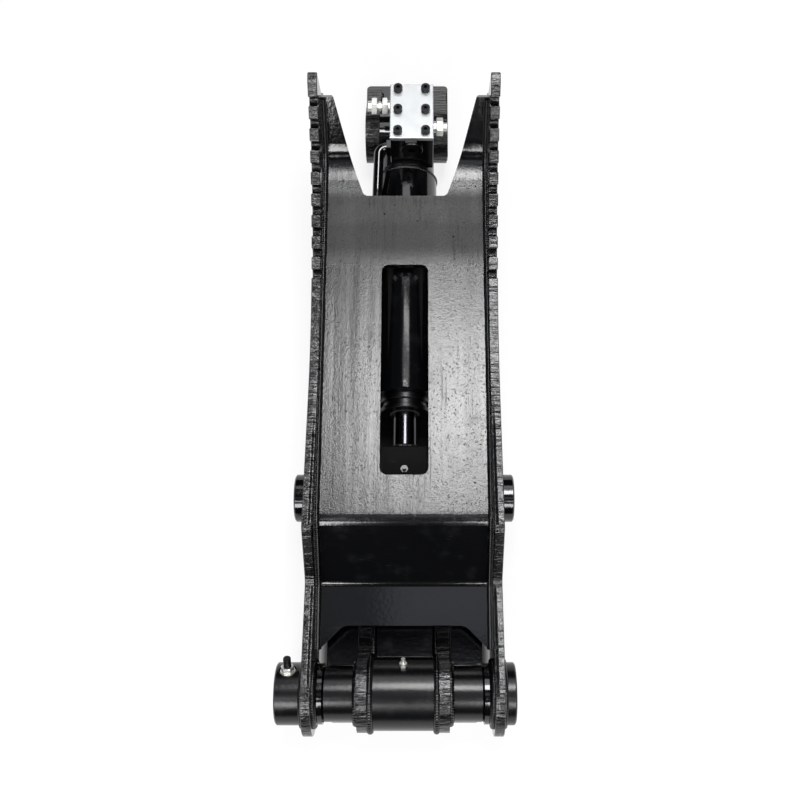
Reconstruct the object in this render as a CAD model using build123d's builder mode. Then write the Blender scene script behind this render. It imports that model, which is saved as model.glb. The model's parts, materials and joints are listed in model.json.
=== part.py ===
from build123d import *

import os
from math import acos, atan2, cos, degrees, hypot, radians, sin, sqrt

# Hydraulic excavator thumb, millimetres. X runs across the thumb, Y from the main pin to the
# tip, and Z up from the stick face that both weld-on brackets stand on, so the origin lies on
# that face under the main pin. The toothed gripping edge looks up.

# Fits and clearances
WELD_FIT = 0.05  # radial gap of a turned piece that is welded or pressed into its hole
RUNNING_FIT = 0.08  # radial gap of a pin in its bushing
SIDE_GAP = 0.3  # free play between faces that turn past each other
EDGE_BREAK = 1.0  # chamfer along flame-cut plate edges

# Thumb weldment
OVERALL_WIDTH = 280.0
PLATE = 14.0
PIVOT_HEIGHT = 95.0
PIVOT_END_R = 58.0
LOBE_R = 54.0
FOOT = (151.5, 38.0)
FOOT_R = 18.0
HUMP = (218.5, 106.0)
HUMP_R = 14.0
TOOTH_ARC_START = (417.0, 75.1)
TIP_CORNER = (849.0, 208.0)
TOOTH_ARC_R = 517.0
TIP_CORNER_R = 2.0
TIP_FACET = 16.9
TIP_FACET_SLOPE = 14.0
TIP_END_R = 4.0
NOSE_R = 6.0
HEEL_R = 8.0
BACK_BEND_R = 60.0
BACK_FOOT = (416.5, -20.0)
BACK_FOOT_R = 120.0
BACK_COVER = 16.0  # how far the side plates reach behind the web plate
GULLETS = 9
GULLET_W = 13.0
GULLET_DEPTH = 17.0
GULLET_PITCH = 31.4
LAST_GULLET = 27.0  # along the arc from the tip corner

# Folded web plate between the side plates: its upper face, from the low end to the legs' ends
WEB = 12.0
WEB_LOW_END = (56.5, -15.0)
WEB_STEP_FOOT = (153.5, -5.0)
WEB_STEP_TOP = (237.5, 54.0)
WEB_FIRST_CREASE = (701.5, 54.0)
WEB_SECOND_CREASE = (730.5, 57.0)
WEB_LEG_FOLD = (801.5, 62.0)
WEB_LEG_END = (870.5, 137.0)
FOLD_R = 16.0  # inner radius of the two folds of the step
LEG_FOLD_R = 75.0
CREASE_R = 90.0
SLOT_W = 71.0
SLOT_START = 303.5
SLOT_END = 631.5
SLOT_CORNER_R = 11.0
NOTCH_Y = 746.0  # bottom of the notch between the two legs
NOTCH_HALF_WIDTH = 64.5
NOTCH_END_HALF_WIDTH = 113.0
NOTCH_R = 9.0
LOW_CUT_Y = 94.5
LOW_CUT_HALF_WIDTH = 89.0
LOW_CUT_R = 18.0

# Main pin, its collar and boss, and the lock bolt
MAIN_PIN_R = 25.0
MAIN_BOSS_R = 43.0
MAIN_BOSS_INSIDE = 6.5
COLLAR_LENGTH = 38.5
BOSS_LENGTH = 17.0
PIN_RECESS = 5.0
LOCK_BOLT_R = 5.0
LOCK_BOLT_FROM_END = 17.5
LOCK_BOLT_HEADING = 47.0
LOCK_SEAT_DEPTH = 1.0
LOCK_SEAT_R = 12.5
LOCK_WASHER = 2.0
LOCK_WASHER_R = 10.5
LOCK_NUT = 8.4
LOCK_NUT_FLATS = 16.0
LOCK_HEAD = 6.4
LOCK_TAIL = 14.0  # thread that stands past the nut

# Rod pin through the side plates
ROD_PIN_Y = 277.5
ROD_PIN_Z = 8.0
ROD_PIN_R = 20.0
ROD_BOSS_R = 35.0
ROD_BOSS_LENGTH = 20.0
ROD_BOSS_INSIDE = 6.0
ROD_BOSS_INNER_R = 32.0  # its shouldered inner end
SPACER_R = 28.0
RING = 2.5  # internal retaining ring
RING_GROOVE = 1.75
RING_WALL = 5.0
RING_GAP_ANGLE = 36.0
RING_FROM_END = 4.0

# Weld-on pivot bracket
HUB_R = 38.5
HUB_MIDDLE_R = 50.5
EAR = 17.0
EAR_HEAD_R = 53.0
EAR_INSIDE = 47.5
THRUST_WASHER = 6.5
THRUST_WASHER_R = 42.0
BUSHING_WALL = 6.0
BUSHING_LENGTH = 60.0
HUB_CHAMFER = 2.5
BASE_PLATE = 16.0
PIVOT_BASE_FRONT = -42.0
PIVOT_BASE_BACK = 198.0
PIVOT_BASE_WIDTH = 236.0
BASE_CORNER_R = 14.0
EAR_HEEL_Y = -34.0
EAR_WAIST = (92.0, -45.0)
EAR_WAIST_R = 40.0
EAR_TOE_Y = 188.0
EAR_TOE_RISE = 12.0

# Hydraulic cylinder, measured along its axis from the rod pin
BASE_PIN_HEIGHT = 60.0
STROKE = 275.0
ROD_R = 18.0
BORE_R = 42.5
BARREL_R = 50.0
ROD_EYE_R = 32.0
ROD_EYE_WIDTH = 66.0
ROD_EYE_WALL = 5.0
SHANK_HALF_HEIGHT = 25.0
SHANK_END = 74.0
ROD_THREAD_R = 15.0
ROD_THREAD = 26.0
GLAND_START = 131.0
GLAND_R = 38.0
GLAND_RING_END = 138.0
GLAND_GROOVE_END = 146.0
GLAND_GROOVE_R = 34.0
BARREL_START = 156.0
GLAND_INNER_END = 185.0
SEAL_DEPTH = 5.0
SEAL_LENGTH = 9.0
STROKE_SPARE = 2.0
PISTON_LENGTH = 40.0
PISTON_BORE_R = 13.0
PISTON_NUT = 22.0
PISTON_NUT_FLATS = 46.0
ROD_TAIL = 2.0
END_GAP = 4.0
CAP_SPIGOT = 8.0
CAP_R = 46.0
CAP_LENGTH = 34.0
CAP_TO_PIN = 56.0
BASE_EYE_R = 38.0
BASE_EYE_WIDTH = 88.0
BASE_PIN_R = 20.0
BASE_EYE_WALL = 6.0
NIPPLE_R = 5.0
NIPPLE_SHANK_R = 3.0
NIPPLE_NECK_R = 2.2
NIPPLE_HEX = 5.0
NIPPLE_HEAD = 3.0
NIPPLE_HEIGHT = 13.0
BASE_NIPPLE_HEADING = 30.0

# Valve block, ports and oil tube, measured along the axis back from the base pin
BLOCK_WIDTH = 68.4
BLOCK_SIDE_GAP = 0.4  # to the right ear
BLOCK_FRONT = 82.0
BLOCK_LENGTH = 100.0
BLOCK_BOTTOM = 34.0
BLOCK_TOP = 109.6
COVER = 8.0
SCREW_R = 4.0
SCREW_HEAD_R = 7.0
SCREW_HEAD = 8.0
SCREW_SOCKET_FLATS = 6.0
SCREW_SPACING = 43.4
SCREW_PITCH = 39.0
SCREW_DEPTH = 11.0
PLUG_R = 17.5
PLUG_FLANGE = 4.0
PLUG_THREAD_R = 12.0
PLUG_DEPTH = 14.0
PLUG_SOCKET_FLATS = 10.0
PLUG_HEIGHT = 88.5
ADAPTER_HEX_FLATS = 25.0
RIGHT_ADAPTER_TURN = 30.0
ADAPTER_SEAT_R = 9.0
ADAPTER_SEAT = 4.5
LEFT_ADAPTER_HEX = 8.8
LEFT_ADAPTER_NECK = 8.2
LEFT_ADAPTER_NECK_R = 6.5
LEFT_ADAPTER_END_R = 8.5
RIGHT_ADAPTER_HEX = 11.0
RIGHT_ADAPTER_END_R = 6.5
ADAPTER_END = 6.6
ADAPTER_SINK = 12.0
ADAPTER_BORE_R = 4.0
ADAPTER_HEIGHT = 88.0
LEFT_ADAPTER_BACK = 2.5
RIGHT_ADAPTER_BACK = 41.5
TUBE_R = 8.0
TUBE_WALL = 1.5
TUBE_NUT_FLATS = 24.0
TUBE_NUT = 7.0
TUBE_SINK = 4.0  # how far its ends sit in their ports
TUBE_PORT_BACK = 58.0
TUBE_PORT_HEIGHT = 54.0
TUBE_ELBOW_REACH = 19.2  # from the block's side
TUBE_ELBOW_R = 11.0
TUBE_DROP = 70.0
TUBE_DROP_ACROSS = -46.0
TUBE_DROP_HEIGHT = 36.5
TUBE_BEND_R = 60.0
TUBE_ACROSS = -52.0
TUBE_HEIGHT = 28.0
TUBE_STRAIGHT = 20.0
HEAD_PORT_ALONG = 205.0  # from the rod pin, past the gland
HEAD_PORT_SIZE = 22.0
HEAD_PORT_LENGTH = 34.0

# Weld-on cylinder bracket
CYLINDER_EAR = 23.0
BASE_EYE_GAP = 0.5  # on each side, to the ears
CYLINDER_EAR_HEAD_R = 43.0
CYLINDER_BASE_FRONT = -14.5  # from the base pin
CYLINDER_BASE_BACK = 128.0
CYLINDER_BASE_MARGIN = 3.5  # outside each ear
CYLINDER_EAR_RISE = 14.0

# Derived places
OUTER_FACE = OVERALL_WIDTH / 2
INNER_FACE = OUTER_FACE - PLATE
BASE_PIN_DROP = PIVOT_HEIGHT + ROD_PIN_Z - BASE_PIN_HEIGHT
PISTON_START = GLAND_INNER_END + STROKE_SPARE + STROKE
NUT_START = PISTON_START + PISTON_LENGTH
ROD_END = NUT_START + PISTON_NUT + ROD_TAIL
CAP_FACE = ROD_END + END_GAP
BARREL_END = CAP_FACE + CAP_SPIGOT
CLOSED_LENGTH = BARREL_END + CAP_LENGTH + CAP_TO_PIN
BASE_PIN_Y = ROD_PIN_Y + sqrt(CLOSED_LENGTH**2 - BASE_PIN_DROP**2)
CYLINDER_EAR_INSIDE = BASE_EYE_WIDTH / 2 + BASE_EYE_GAP
CYLINDER_EAR_OUTSIDE = CYLINDER_EAR_INSIDE + CYLINDER_EAR
CYLINDER_BASE_WIDTH = 2 * (CYLINDER_EAR_OUTSIDE + CYLINDER_BASE_MARGIN)
BLOCK_OFFSET = CYLINDER_EAR_INSIDE - BLOCK_SIDE_GAP - BLOCK_WIDTH / 2
CYLINDER_TILT = degrees(atan2(BASE_PIN_DROP, BASE_PIN_Y - ROD_PIN_Y))
SIDES = ((-1, "left"), (1, "right"))

os.makedirs("parts", exist_ok=True)


def save(piece, name):
    """Label a finished piece and write it."""
    piece.part.label = name
    export_step(piece.part, f"parts/{name}.step")


def side_plane(x, y=0, z=0):
    """Plane across X, with its own x along Y and its y along Z, measured from the main pin."""
    return Plane(origin=(x, y, PIVOT_HEIGHT + z), x_dir=(0, 1, 0), z_dir=(1, 0, 0))


def heading_of(first, second, side):
    """Heading, from both centres, of the points where a common outer tangent touches two circles.

    Each circle is (y, z, radius). Side +1 is the tangent on the left of first to second.
    """
    (y1, z1, r1), (y2, z2, r2) = first, second
    line = atan2(z2 - z1, y2 - y1)
    return degrees(line + side * acos((r1 - r2) / hypot(y2 - y1, z2 - z1)))


def on_circle(circle, heading):
    """Point of a circle at a heading in degrees."""
    y, z, r = circle
    return (y + r * cos(radians(heading)), z + r * sin(radians(heading)))


def beyond(point, length, heading):
    """Point at a distance from another, along a heading in degrees."""
    return on_circle((*point, length), heading)


def hollow_arc_centre(first, second, radius):
    """Centre of the arc through two points, on the left of first to second."""
    (y1, z1), (y2, z2) = first, second
    chord = hypot(y2 - y1, z2 - z1)
    rise = sqrt(radius**2 - (chord / 2) ** 2) / chord
    return ((y1 + y2) / 2 - rise * (z2 - z1), (z1 + z2) / 2 + rise * (y2 - y1))


def heading_from(centre, point):
    """Heading in degrees of a point seen from a centre."""
    return degrees(atan2(point[1] - centre[1], point[0] - centre[0]))


def round_corners(sketch, corners):
    """Round each named corner of a sketch."""
    for point, radius in corners:
        fillet(sketch.vertices().sort_by_distance(point)[0], radius)


# Side plates: flame-cut, with a round pivot end, a step up to the hump, and a hollow toothed arc
PIVOT_END = (0, 0, PIVOT_END_R)
LOBE = (ROD_PIN_Y, ROD_PIN_Z, LOBE_R)
tooth_arc_centre = hollow_arc_centre(TOOTH_ARC_START, TIP_CORNER, TOOTH_ARC_R)
end_front = heading_of(PIVOT_END, (*FOOT, 0), 1)
end_under = heading_of(PIVOT_END, LOBE, -1)
lobe_back = heading_of(LOBE, (*BACK_FOOT, 0), -1)
arc_start = heading_from(tooth_arc_centre, TOOTH_ARC_START)
arc_end = heading_from(tooth_arc_centre, TIP_CORNER)
last_gullet = arc_end - degrees(LAST_GULLET / TOOTH_ARC_R)
gullet_step = degrees(GULLET_PITCH / TOOTH_ARC_R)
tip_end = beyond(TIP_CORNER, TIP_FACET, TIP_FACET_SLOPE)
leg_heading = heading_from(WEB_LEG_FOLD, WEB_LEG_END)
back_offset = WEB + BACK_COVER
nose = beyond(WEB_LEG_END, EDGE_BREAK, leg_heading)
heel = beyond(nose, back_offset, leg_heading - 90)
back_bend = beyond(WEB_LEG_FOLD, back_offset, (leg_heading - 180) / 2)

with BuildPart() as side_plate_left:
    with BuildSketch(side_plane(-INNER_FACE)) as outline:
        with BuildLine():
            Polyline(on_circle(PIVOT_END, end_front), FOOT, HUMP, TOOTH_ARC_START)
            CenterArc(tooth_arc_centre, TOOTH_ARC_R, arc_start, arc_end - arc_start)
            Polyline(TIP_CORNER, tip_end, nose, heel, back_bend, BACK_FOOT, on_circle(LOBE, lobe_back))
            CenterArc(LOBE[:2], LOBE_R, lobe_back, end_under - lobe_back)
            Line(on_circle(LOBE, end_under), on_circle(PIVOT_END, end_under))
            CenterArc((0, 0), PIVOT_END_R, end_under, end_front - end_under - 360)
        make_face()
        round_corners(outline, [(FOOT, FOOT_R), (HUMP, HUMP_R)])
        round_corners(outline, [(TIP_CORNER, TIP_CORNER_R), (tip_end, TIP_END_R), (nose, NOSE_R)])
        round_corners(outline, [(heel, HEEL_R), (back_bend, BACK_BEND_R), (BACK_FOOT, BACK_FOOT_R)])
        with Locations(tooth_arc_centre):
            with PolarLocations(
                TOOTH_ARC_R, GULLETS, last_gullet, -gullet_step * (GULLETS - 1), endpoint=True
            ):
                SlotOverall(2 * GULLET_DEPTH, GULLET_W, mode=Mode.SUBTRACT)
        Circle(MAIN_BOSS_R + WELD_FIT, mode=Mode.SUBTRACT)
        with Locations(LOBE[:2]):
            Circle(ROD_BOSS_R + WELD_FIT, mode=Mode.SUBTRACT)
    extrude(amount=-PLATE)
    flat_faces = side_plate_left.faces().filter_by(Axis.X).sort_by(Axis.X)
    rims = [flat_faces[place].outer_wire().edges() for place in (0, -1)]
    chamfer([edge for rim in rims for edge in rim], EDGE_BREAK)
save(side_plate_left, "side_plate_left")

with BuildPart() as side_plate_right:
    mirror(side_plate_left.part, about=Plane.YZ)
save(side_plate_right, "side_plate_right")

# Web plate: one sheet folded into a low tab, a step, the main panel and two raised legs
with BuildPart() as web_plate:
    with BuildSketch(side_plane(-INNER_FACE)):
        with BuildLine():
            FilletPolyline(
                WEB_LOW_END,
                WEB_STEP_FOOT,
                WEB_STEP_TOP,
                WEB_FIRST_CREASE,
                WEB_SECOND_CREASE,
                WEB_LEG_FOLD,
                WEB_LEG_END,
                radius=[FOLD_R, FOLD_R + WEB, CREASE_R, CREASE_R, LEG_FOLD_R],
            )
            offset(amount=WEB, side=Side.RIGHT)
        make_face()
    extrude(amount=2 * INNER_FACE)
    above_web = Plane.XY.offset(PIVOT_HEIGHT + WEB_STEP_TOP[1] + WEB)
    with BuildSketch(above_web):
        with Locations((0, (SLOT_START + SLOT_END) / 2)):
            RectangleRounded(SLOT_W, SLOT_END - SLOT_START, SLOT_CORNER_R)
    extrude(amount=-3 * WEB, mode=Mode.SUBTRACT)
    with BuildSketch(Plane.XY) as low_cut:
        with BuildLine():
            Polyline(
                (-INNER_FACE - EDGE_BREAK, WEB_LOW_END[0] - WEB),
                (-INNER_FACE - EDGE_BREAK, WEB_LOW_END[0] + EDGE_BREAK),
                (-LOW_CUT_HALF_WIDTH, LOW_CUT_Y),
                (LOW_CUT_HALF_WIDTH, LOW_CUT_Y),
                (INNER_FACE + EDGE_BREAK, WEB_LOW_END[0] + EDGE_BREAK),
                (INNER_FACE + EDGE_BREAK, WEB_LOW_END[0] - WEB),
                close=True,
            )
        make_face()
        round_corners(low_cut, [((s * LOW_CUT_HALF_WIDTH, LOW_CUT_Y), LOW_CUT_R) for s in (-1, 1)])
    extrude(amount=PIVOT_HEIGHT, mode=Mode.SUBTRACT)
    leg_length = hypot(WEB_LEG_END[0] - WEB_LEG_FOLD[0], WEB_LEG_END[1] - WEB_LEG_FOLD[1])
    with BuildSketch(above_web) as notch:
        with BuildLine():
            Polyline(
                (-NOTCH_HALF_WIDTH, NOTCH_Y),
                (NOTCH_HALF_WIDTH, NOTCH_Y),
                (NOTCH_END_HALF_WIDTH, WEB_LEG_END[0] + WEB),
                (-NOTCH_END_HALF_WIDTH, WEB_LEG_END[0] + WEB),
                close=True,
            )
        make_face()
        round_corners(notch, [((s * NOTCH_HALF_WIDTH, NOTCH_Y), NOTCH_R) for s in (-1, 1)])
    extrude(amount=leg_length, both=True, mode=Mode.SUBTRACT)
save(web_plate, "web_plate")


def turned(plane, steps, bore=0):
    """Turned tube or bar along a plane's normal; steps are (from, to, radius) along it."""
    for start, end, radius in steps:
        with BuildSketch(plane.offset(start)) as section:
            Circle(radius)
        extrude(section.sketch, amount=end - start)
    if bore:
        low = min(start for start, end, radius in steps)
        high = max(end for start, end, radius in steps)
        with BuildSketch(plane.offset(low)) as section:
            Circle(bore)
        extrude(section.sketch, amount=high - low, mode=Mode.SUBTRACT)


def round_rims(part, axis, length):
    """Chamfer the outer rims at both ends of a turned piece."""
    rims = part.edges().filter_by(GeomType.CIRCLE).group_by(axis)
    for rim in (rims[0], rims[-1]):
        chamfer(rim.sort_by(SortBy.RADIUS)[-1], length)


# Bosses welded through the side plates, and the collar that takes the lock bolt
main_axis = side_plane(0)
rod_axis = side_plane(0, ROD_PIN_Y, ROD_PIN_Z)
boss_inner_face = INNER_FACE - MAIN_BOSS_INSIDE
collar_end = OUTER_FACE + COLLAR_LENGTH
lock_x = -(collar_end - LOCK_BOLT_FROM_END)
lock_axis = Plane(
    origin=(lock_x, 0, PIVOT_HEIGHT),
    x_dir=(1, 0, 0),
    z_dir=(0, sin(radians(LOCK_BOLT_HEADING)), cos(radians(LOCK_BOLT_HEADING))),
)
lock_seat = sqrt(MAIN_BOSS_R**2 - LOCK_SEAT_R**2) - LOCK_SEAT_DEPTH

with BuildPart() as main_pin_collar_left:
    turned(main_axis, [(-collar_end, -boss_inner_face, MAIN_BOSS_R)], MAIN_PIN_R + WELD_FIT)
    round_rims(main_pin_collar_left, Axis.X, 2 * EDGE_BREAK)
    with BuildSketch(lock_axis.offset(-MAIN_BOSS_R)):
        Circle(LOCK_BOLT_R + WELD_FIT)
    extrude(amount=2 * MAIN_BOSS_R, mode=Mode.SUBTRACT)
    for way in (-1, 1):
        with BuildSketch(lock_axis.offset(way * lock_seat)):
            Circle(LOCK_SEAT_R)
        extrude(amount=way * MAIN_BOSS_R, mode=Mode.SUBTRACT)
save(main_pin_collar_left, "main_pin_collar_left")

with BuildPart() as main_pin_boss_right:
    turned(main_axis, [(boss_inner_face, OUTER_FACE + BOSS_LENGTH, MAIN_BOSS_R)], MAIN_PIN_R + WELD_FIT)
    round_rims(main_pin_boss_right, Axis.X, 2 * EDGE_BREAK)
save(main_pin_boss_right, "main_pin_boss_right")

with BuildPart() as main_pin:
    turned(main_axis, [(PIN_RECESS - collar_end, OUTER_FACE + BOSS_LENGTH - PIN_RECESS, MAIN_PIN_R)])
    round_rims(main_pin, Axis.X, 2 * EDGE_BREAK)
    with BuildSketch(lock_axis.offset(-MAIN_PIN_R)):
        Circle(LOCK_BOLT_R + WELD_FIT)
    extrude(amount=2 * MAIN_PIN_R, mode=Mode.SUBTRACT)
save(main_pin, "main_pin")

nut_seat = lock_seat + LOCK_WASHER
with BuildPart() as pin_lock_bolt:
    turned(lock_axis, [(-nut_seat, nut_seat + LOCK_NUT + LOCK_TAIL, LOCK_BOLT_R)])
    with BuildSketch(lock_axis.offset(-nut_seat)):
        RegularPolygon(LOCK_NUT_FLATS / 2, 6, major_radius=False)
    extrude(amount=-LOCK_HEAD)
save(pin_lock_bolt, "pin_lock_bolt")

with BuildPart() as pin_lock_nut:
    with BuildSketch(lock_axis.offset(nut_seat)):
        RegularPolygon(LOCK_NUT_FLATS / 2, 6, major_radius=False)
        Circle(LOCK_BOLT_R + WELD_FIT, mode=Mode.SUBTRACT)
    extrude(amount=LOCK_NUT)
save(pin_lock_nut, "pin_lock_nut")

with BuildPart() as pin_lock_washers:
    for way in (-1, 1):
        with BuildSketch(lock_axis.offset(way * lock_seat)):
            Circle(LOCK_WASHER_R)
            Circle(LOCK_BOLT_R + WELD_FIT, mode=Mode.SUBTRACT)
        extrude(amount=way * LOCK_WASHER)
save(pin_lock_washers, "pin_lock_washers")


def retained_pin(axis_plane, half_length, radius):
    """Plain pin with chamfered ends, centred on a cross axis."""
    turned(axis_plane, [(-half_length, half_length, radius)])


def ring_groove(axis_plane, start, bore):
    """Cut an internal ring groove that starts at a distance along the axis."""
    with BuildSketch(axis_plane.offset(start)) as groove:
        Circle(bore + RING_GROOVE)
    extrude(groove.sketch, amount=RING, mode=Mode.SUBTRACT)


def retaining_rings(axis_plane, starts, bore):
    """Open spring rings that sit in the grooves of a bore."""
    reach = 2 * bore
    gap_side = reach * sin(radians(RING_GAP_ANGLE / 2))
    for start in starts:
        with BuildSketch(axis_plane.offset(start)) as ring:
            Circle(bore + RING_GROOVE - WELD_FIT)
            Circle(bore - RING_WALL, mode=Mode.SUBTRACT)
            with BuildLine():
                Polyline((0, 0), (reach, gap_side), (reach, -gap_side), close=True)
            make_face(mode=Mode.SUBTRACT)
        extrude(ring.sketch, amount=RING)


rod_boss_end = OUTER_FACE + ROD_BOSS_LENGTH
rod_ring_start = rod_boss_end - RING_FROM_END - RING
for side, name in SIDES:
    with BuildPart() as rod_pin_boss:
        inner_end = sorted((side * (INNER_FACE - ROD_BOSS_INSIDE), side * INNER_FACE))
        outer_end = sorted((side * INNER_FACE, side * rod_boss_end))
        steps = [(*inner_end, ROD_BOSS_INNER_R), (*outer_end, ROD_BOSS_R)]
        turned(rod_axis, steps, ROD_PIN_R + WELD_FIT)
        round_rims(rod_pin_boss, Axis.X, 2 * EDGE_BREAK)
        ring_groove(rod_axis, rod_ring_start if side > 0 else -rod_ring_start - RING, ROD_PIN_R)
    save(rod_pin_boss, f"rod_pin_boss_{name}")

with BuildPart() as rod_pin:
    retained_pin(rod_axis, rod_ring_start - SIDE_GAP, ROD_PIN_R)
    round_rims(rod_pin, Axis.X, EDGE_BREAK)
save(rod_pin, "rod_pin")

with BuildPart() as rod_pin_rings:
    retaining_rings(rod_axis, (-rod_ring_start - RING, rod_ring_start), ROD_PIN_R)
save(rod_pin_rings, "rod_pin_rings")

for side, name in SIDES:
    with BuildPart() as rod_pin_spacer:
        near_face = ROD_EYE_WIDTH / 2 + SIDE_GAP
        far_face = INNER_FACE - ROD_BOSS_INSIDE - SIDE_GAP
        start, end = sorted((side * near_face, side * far_face))
        turned(rod_axis, [(start, end, SPACER_R)], ROD_PIN_R + RUNNING_FIT)
    save(rod_pin_spacer, f"rod_pin_spacer_{name}")

# Pivot bracket: a shouldered hub on two ears and a base plate, all welded to the stick
hub_end = boss_inner_face - 2 * SIDE_GAP - THRUST_WASHER
bushing_r = MAIN_PIN_R + RUNNING_FIT + BUSHING_WALL
nipple_axis = Plane(main_axis.origin, x_dir=(1, 0, 0), z_dir=lock_axis.z_dir)


def grease_nipple(plane):
    """Grease nipple along a plane's normal: hexagon, neck and ball head, on a threaded shank."""
    with BuildSketch(plane) as hexagon:
        RegularPolygon(NIPPLE_R, 6, major_radius=False)
    extrude(hexagon.sketch, amount=NIPPLE_HEX)
    turned(
        plane,
        [
            (EDGE_BREAK - 2 * NIPPLE_R, 0, NIPPLE_SHANK_R),
            (NIPPLE_HEX, NIPPLE_HEIGHT - NIPPLE_HEAD, NIPPLE_NECK_R),
            (NIPPLE_HEIGHT - NIPPLE_HEAD, NIPPLE_HEIGHT, NIPPLE_SHANK_R),
        ],
    )


def nipple_hole(plane):
    """Tapped hole for a grease nipple, down a plane's normal."""
    with BuildSketch(plane) as hole:
        Circle(NIPPLE_SHANK_R + WELD_FIT)
    extrude(hole.sketch, amount=-2 * NIPPLE_R, mode=Mode.SUBTRACT)


with BuildPart() as hub_tube:
    turned(
        main_axis,
        [(-hub_end, hub_end, HUB_R), (-EAR_INSIDE, EAR_INSIDE, HUB_MIDDLE_R)],
        bushing_r + WELD_FIT,
    )
    round_rims(hub_tube, Axis.X, HUB_CHAMFER)
    nipple_hole(nipple_axis.offset(HUB_MIDDLE_R))
save(hub_tube, "hub_tube")

with BuildPart() as hub_grease_nipple:
    grease_nipple(nipple_axis.offset(HUB_MIDDLE_R))
save(hub_grease_nipple, "hub_grease_nipple")

for side, name in SIDES:
    with BuildPart() as hub_bushing:
        start, end = sorted((side * (hub_end - BUSHING_LENGTH), side * hub_end))
        turned(main_axis, [(start, end, bushing_r)], MAIN_PIN_R + RUNNING_FIT)
    save(hub_bushing, f"hub_bushing_{name}")

    with BuildPart() as thrust_washer:
        start, end = sorted((side * (hub_end + SIDE_GAP), side * (hub_end + SIDE_GAP + THRUST_WASHER)))
        turned(main_axis, [(start, end, THRUST_WASHER_R)], MAIN_PIN_R + RUNNING_FIT)
    save(thrust_washer, f"thrust_washer_{name}")

    with BuildPart() as bracket_ear:
        with BuildSketch(side_plane(side * EAR_INSIDE)) as ear_outline:
            ear_head = (0, 0, EAR_HEAD_R)
            ear_foot = BASE_PLATE - PIVOT_HEIGHT
            heel_point = (EAR_HEEL_Y, ear_foot)
            waist_side = heading_of(ear_head, (*EAR_WAIST, 0), 1)
            heel_side = heading_of(ear_head, (*heel_point, 0), -1)
            with BuildLine():
                Polyline(
                    on_circle(ear_head, waist_side),
                    EAR_WAIST,
                    (EAR_TOE_Y, ear_foot + EAR_TOE_RISE),
                    (EAR_TOE_Y, ear_foot),
                    heel_point,
                    on_circle(ear_head, heel_side),
                )
                CenterArc((0, 0), EAR_HEAD_R, heel_side, waist_side - heel_side - 360)
            make_face()
            round_corners(ear_outline, [(EAR_WAIST, EAR_WAIST_R)])
            Circle(HUB_R + WELD_FIT, mode=Mode.SUBTRACT)
        extrude(amount=side * EAR)
    save(bracket_ear, f"bracket_ear_{name}")

with BuildPart() as bracket_base_plate:
    with BuildSketch():
        with Locations((0, (PIVOT_BASE_FRONT + PIVOT_BASE_BACK) / 2)):
            RectangleRounded(PIVOT_BASE_WIDTH, PIVOT_BASE_BACK - PIVOT_BASE_FRONT, BASE_CORNER_R)
    extrude(amount=BASE_PLATE)
    chamfer(bracket_base_plate.faces().sort_by(Axis.Z)[-1].edges(), EDGE_BREAK)
save(bracket_base_plate, "bracket_base_plate")

# Hydraulic cylinder. Its plane has x across, y along the axis to the base pin, and z up.
tilt = radians(CYLINDER_TILT)
cylinder = Plane(
    origin=(0, ROD_PIN_Y, PIVOT_HEIGHT + ROD_PIN_Z),
    x_dir=(1, 0, 0),
    z_dir=(0, sin(tilt), cos(tilt)),
)
along = Plane(cylinder.origin, x_dir=(-1, 0, 0), z_dir=cylinder.y_dir)
cylinder_axis = Axis(cylinder.origin, cylinder.y_dir)


def cylinder_point(across, distance, height):
    """Point given across the cylinder, along its axis from the rod pin, and above the axis."""
    return cylinder.from_local_coords(Vector(across, distance, height))


def cylinder_plane(across, distance, height, normal, x_dir=None):
    """Plane at a point of the cylinder, facing one of the cylinder's own directions."""
    return Plane(cylinder_point(across, distance, height), x_dir=x_dir or cylinder.x_dir, z_dir=normal)


eye_axis = Plane(cylinder.origin, x_dir=cylinder.y_dir, z_dir=(1, 0, 0))
base_axis = Plane(cylinder_point(0, CLOSED_LENGTH, 0), x_dir=cylinder.y_dir, z_dir=(1, 0, 0))
rod_bushing_r = ROD_PIN_R + RUNNING_FIT + ROD_EYE_WALL

with BuildPart() as rod_eye:
    with BuildSketch(along):
        Rectangle(ROD_EYE_WIDTH, 2 * SHANK_HALF_HEIGHT)
    extrude(amount=SHANK_END)
    chamfer(rod_eye.faces().sort_by(cylinder_axis)[-1].edges(), 2 * EDGE_BREAK)
    turned(eye_axis, [(-ROD_EYE_WIDTH / 2, ROD_EYE_WIDTH / 2, ROD_EYE_R)])
    with BuildSketch(eye_axis.offset(-ROD_EYE_WIDTH / 2)):
        Circle(rod_bushing_r + WELD_FIT)
    extrude(amount=ROD_EYE_WIDTH, mode=Mode.SUBTRACT)
    with BuildSketch(along.offset(SHANK_END)):
        Circle(ROD_THREAD_R + WELD_FIT)
    extrude(amount=-ROD_THREAD, mode=Mode.SUBTRACT)
    rod_nipple = cylinder_plane(0, ROD_EYE_R + NIPPLE_R, SHANK_HALF_HEIGHT, cylinder.z_dir)
    nipple_hole(rod_nipple)
save(rod_eye, "rod_eye")

with BuildPart() as rod_eye_bushing:
    turned(eye_axis, [(-ROD_EYE_WIDTH / 2, ROD_EYE_WIDTH / 2, rod_bushing_r)], ROD_PIN_R + RUNNING_FIT)
save(rod_eye_bushing, "rod_eye_bushing")

with BuildPart() as rod_eye_nipple:
    grease_nipple(rod_nipple)
save(rod_eye_nipple, "rod_eye_nipple")

with BuildPart() as piston_rod:
    turned(
        along,
        [
            (SHANK_END - ROD_THREAD, SHANK_END, ROD_THREAD_R),
            (SHANK_END, PISTON_START, ROD_R),
            (PISTON_START, ROD_END, PISTON_BORE_R),
        ],
    )
save(piston_rod, "piston_rod")

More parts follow.
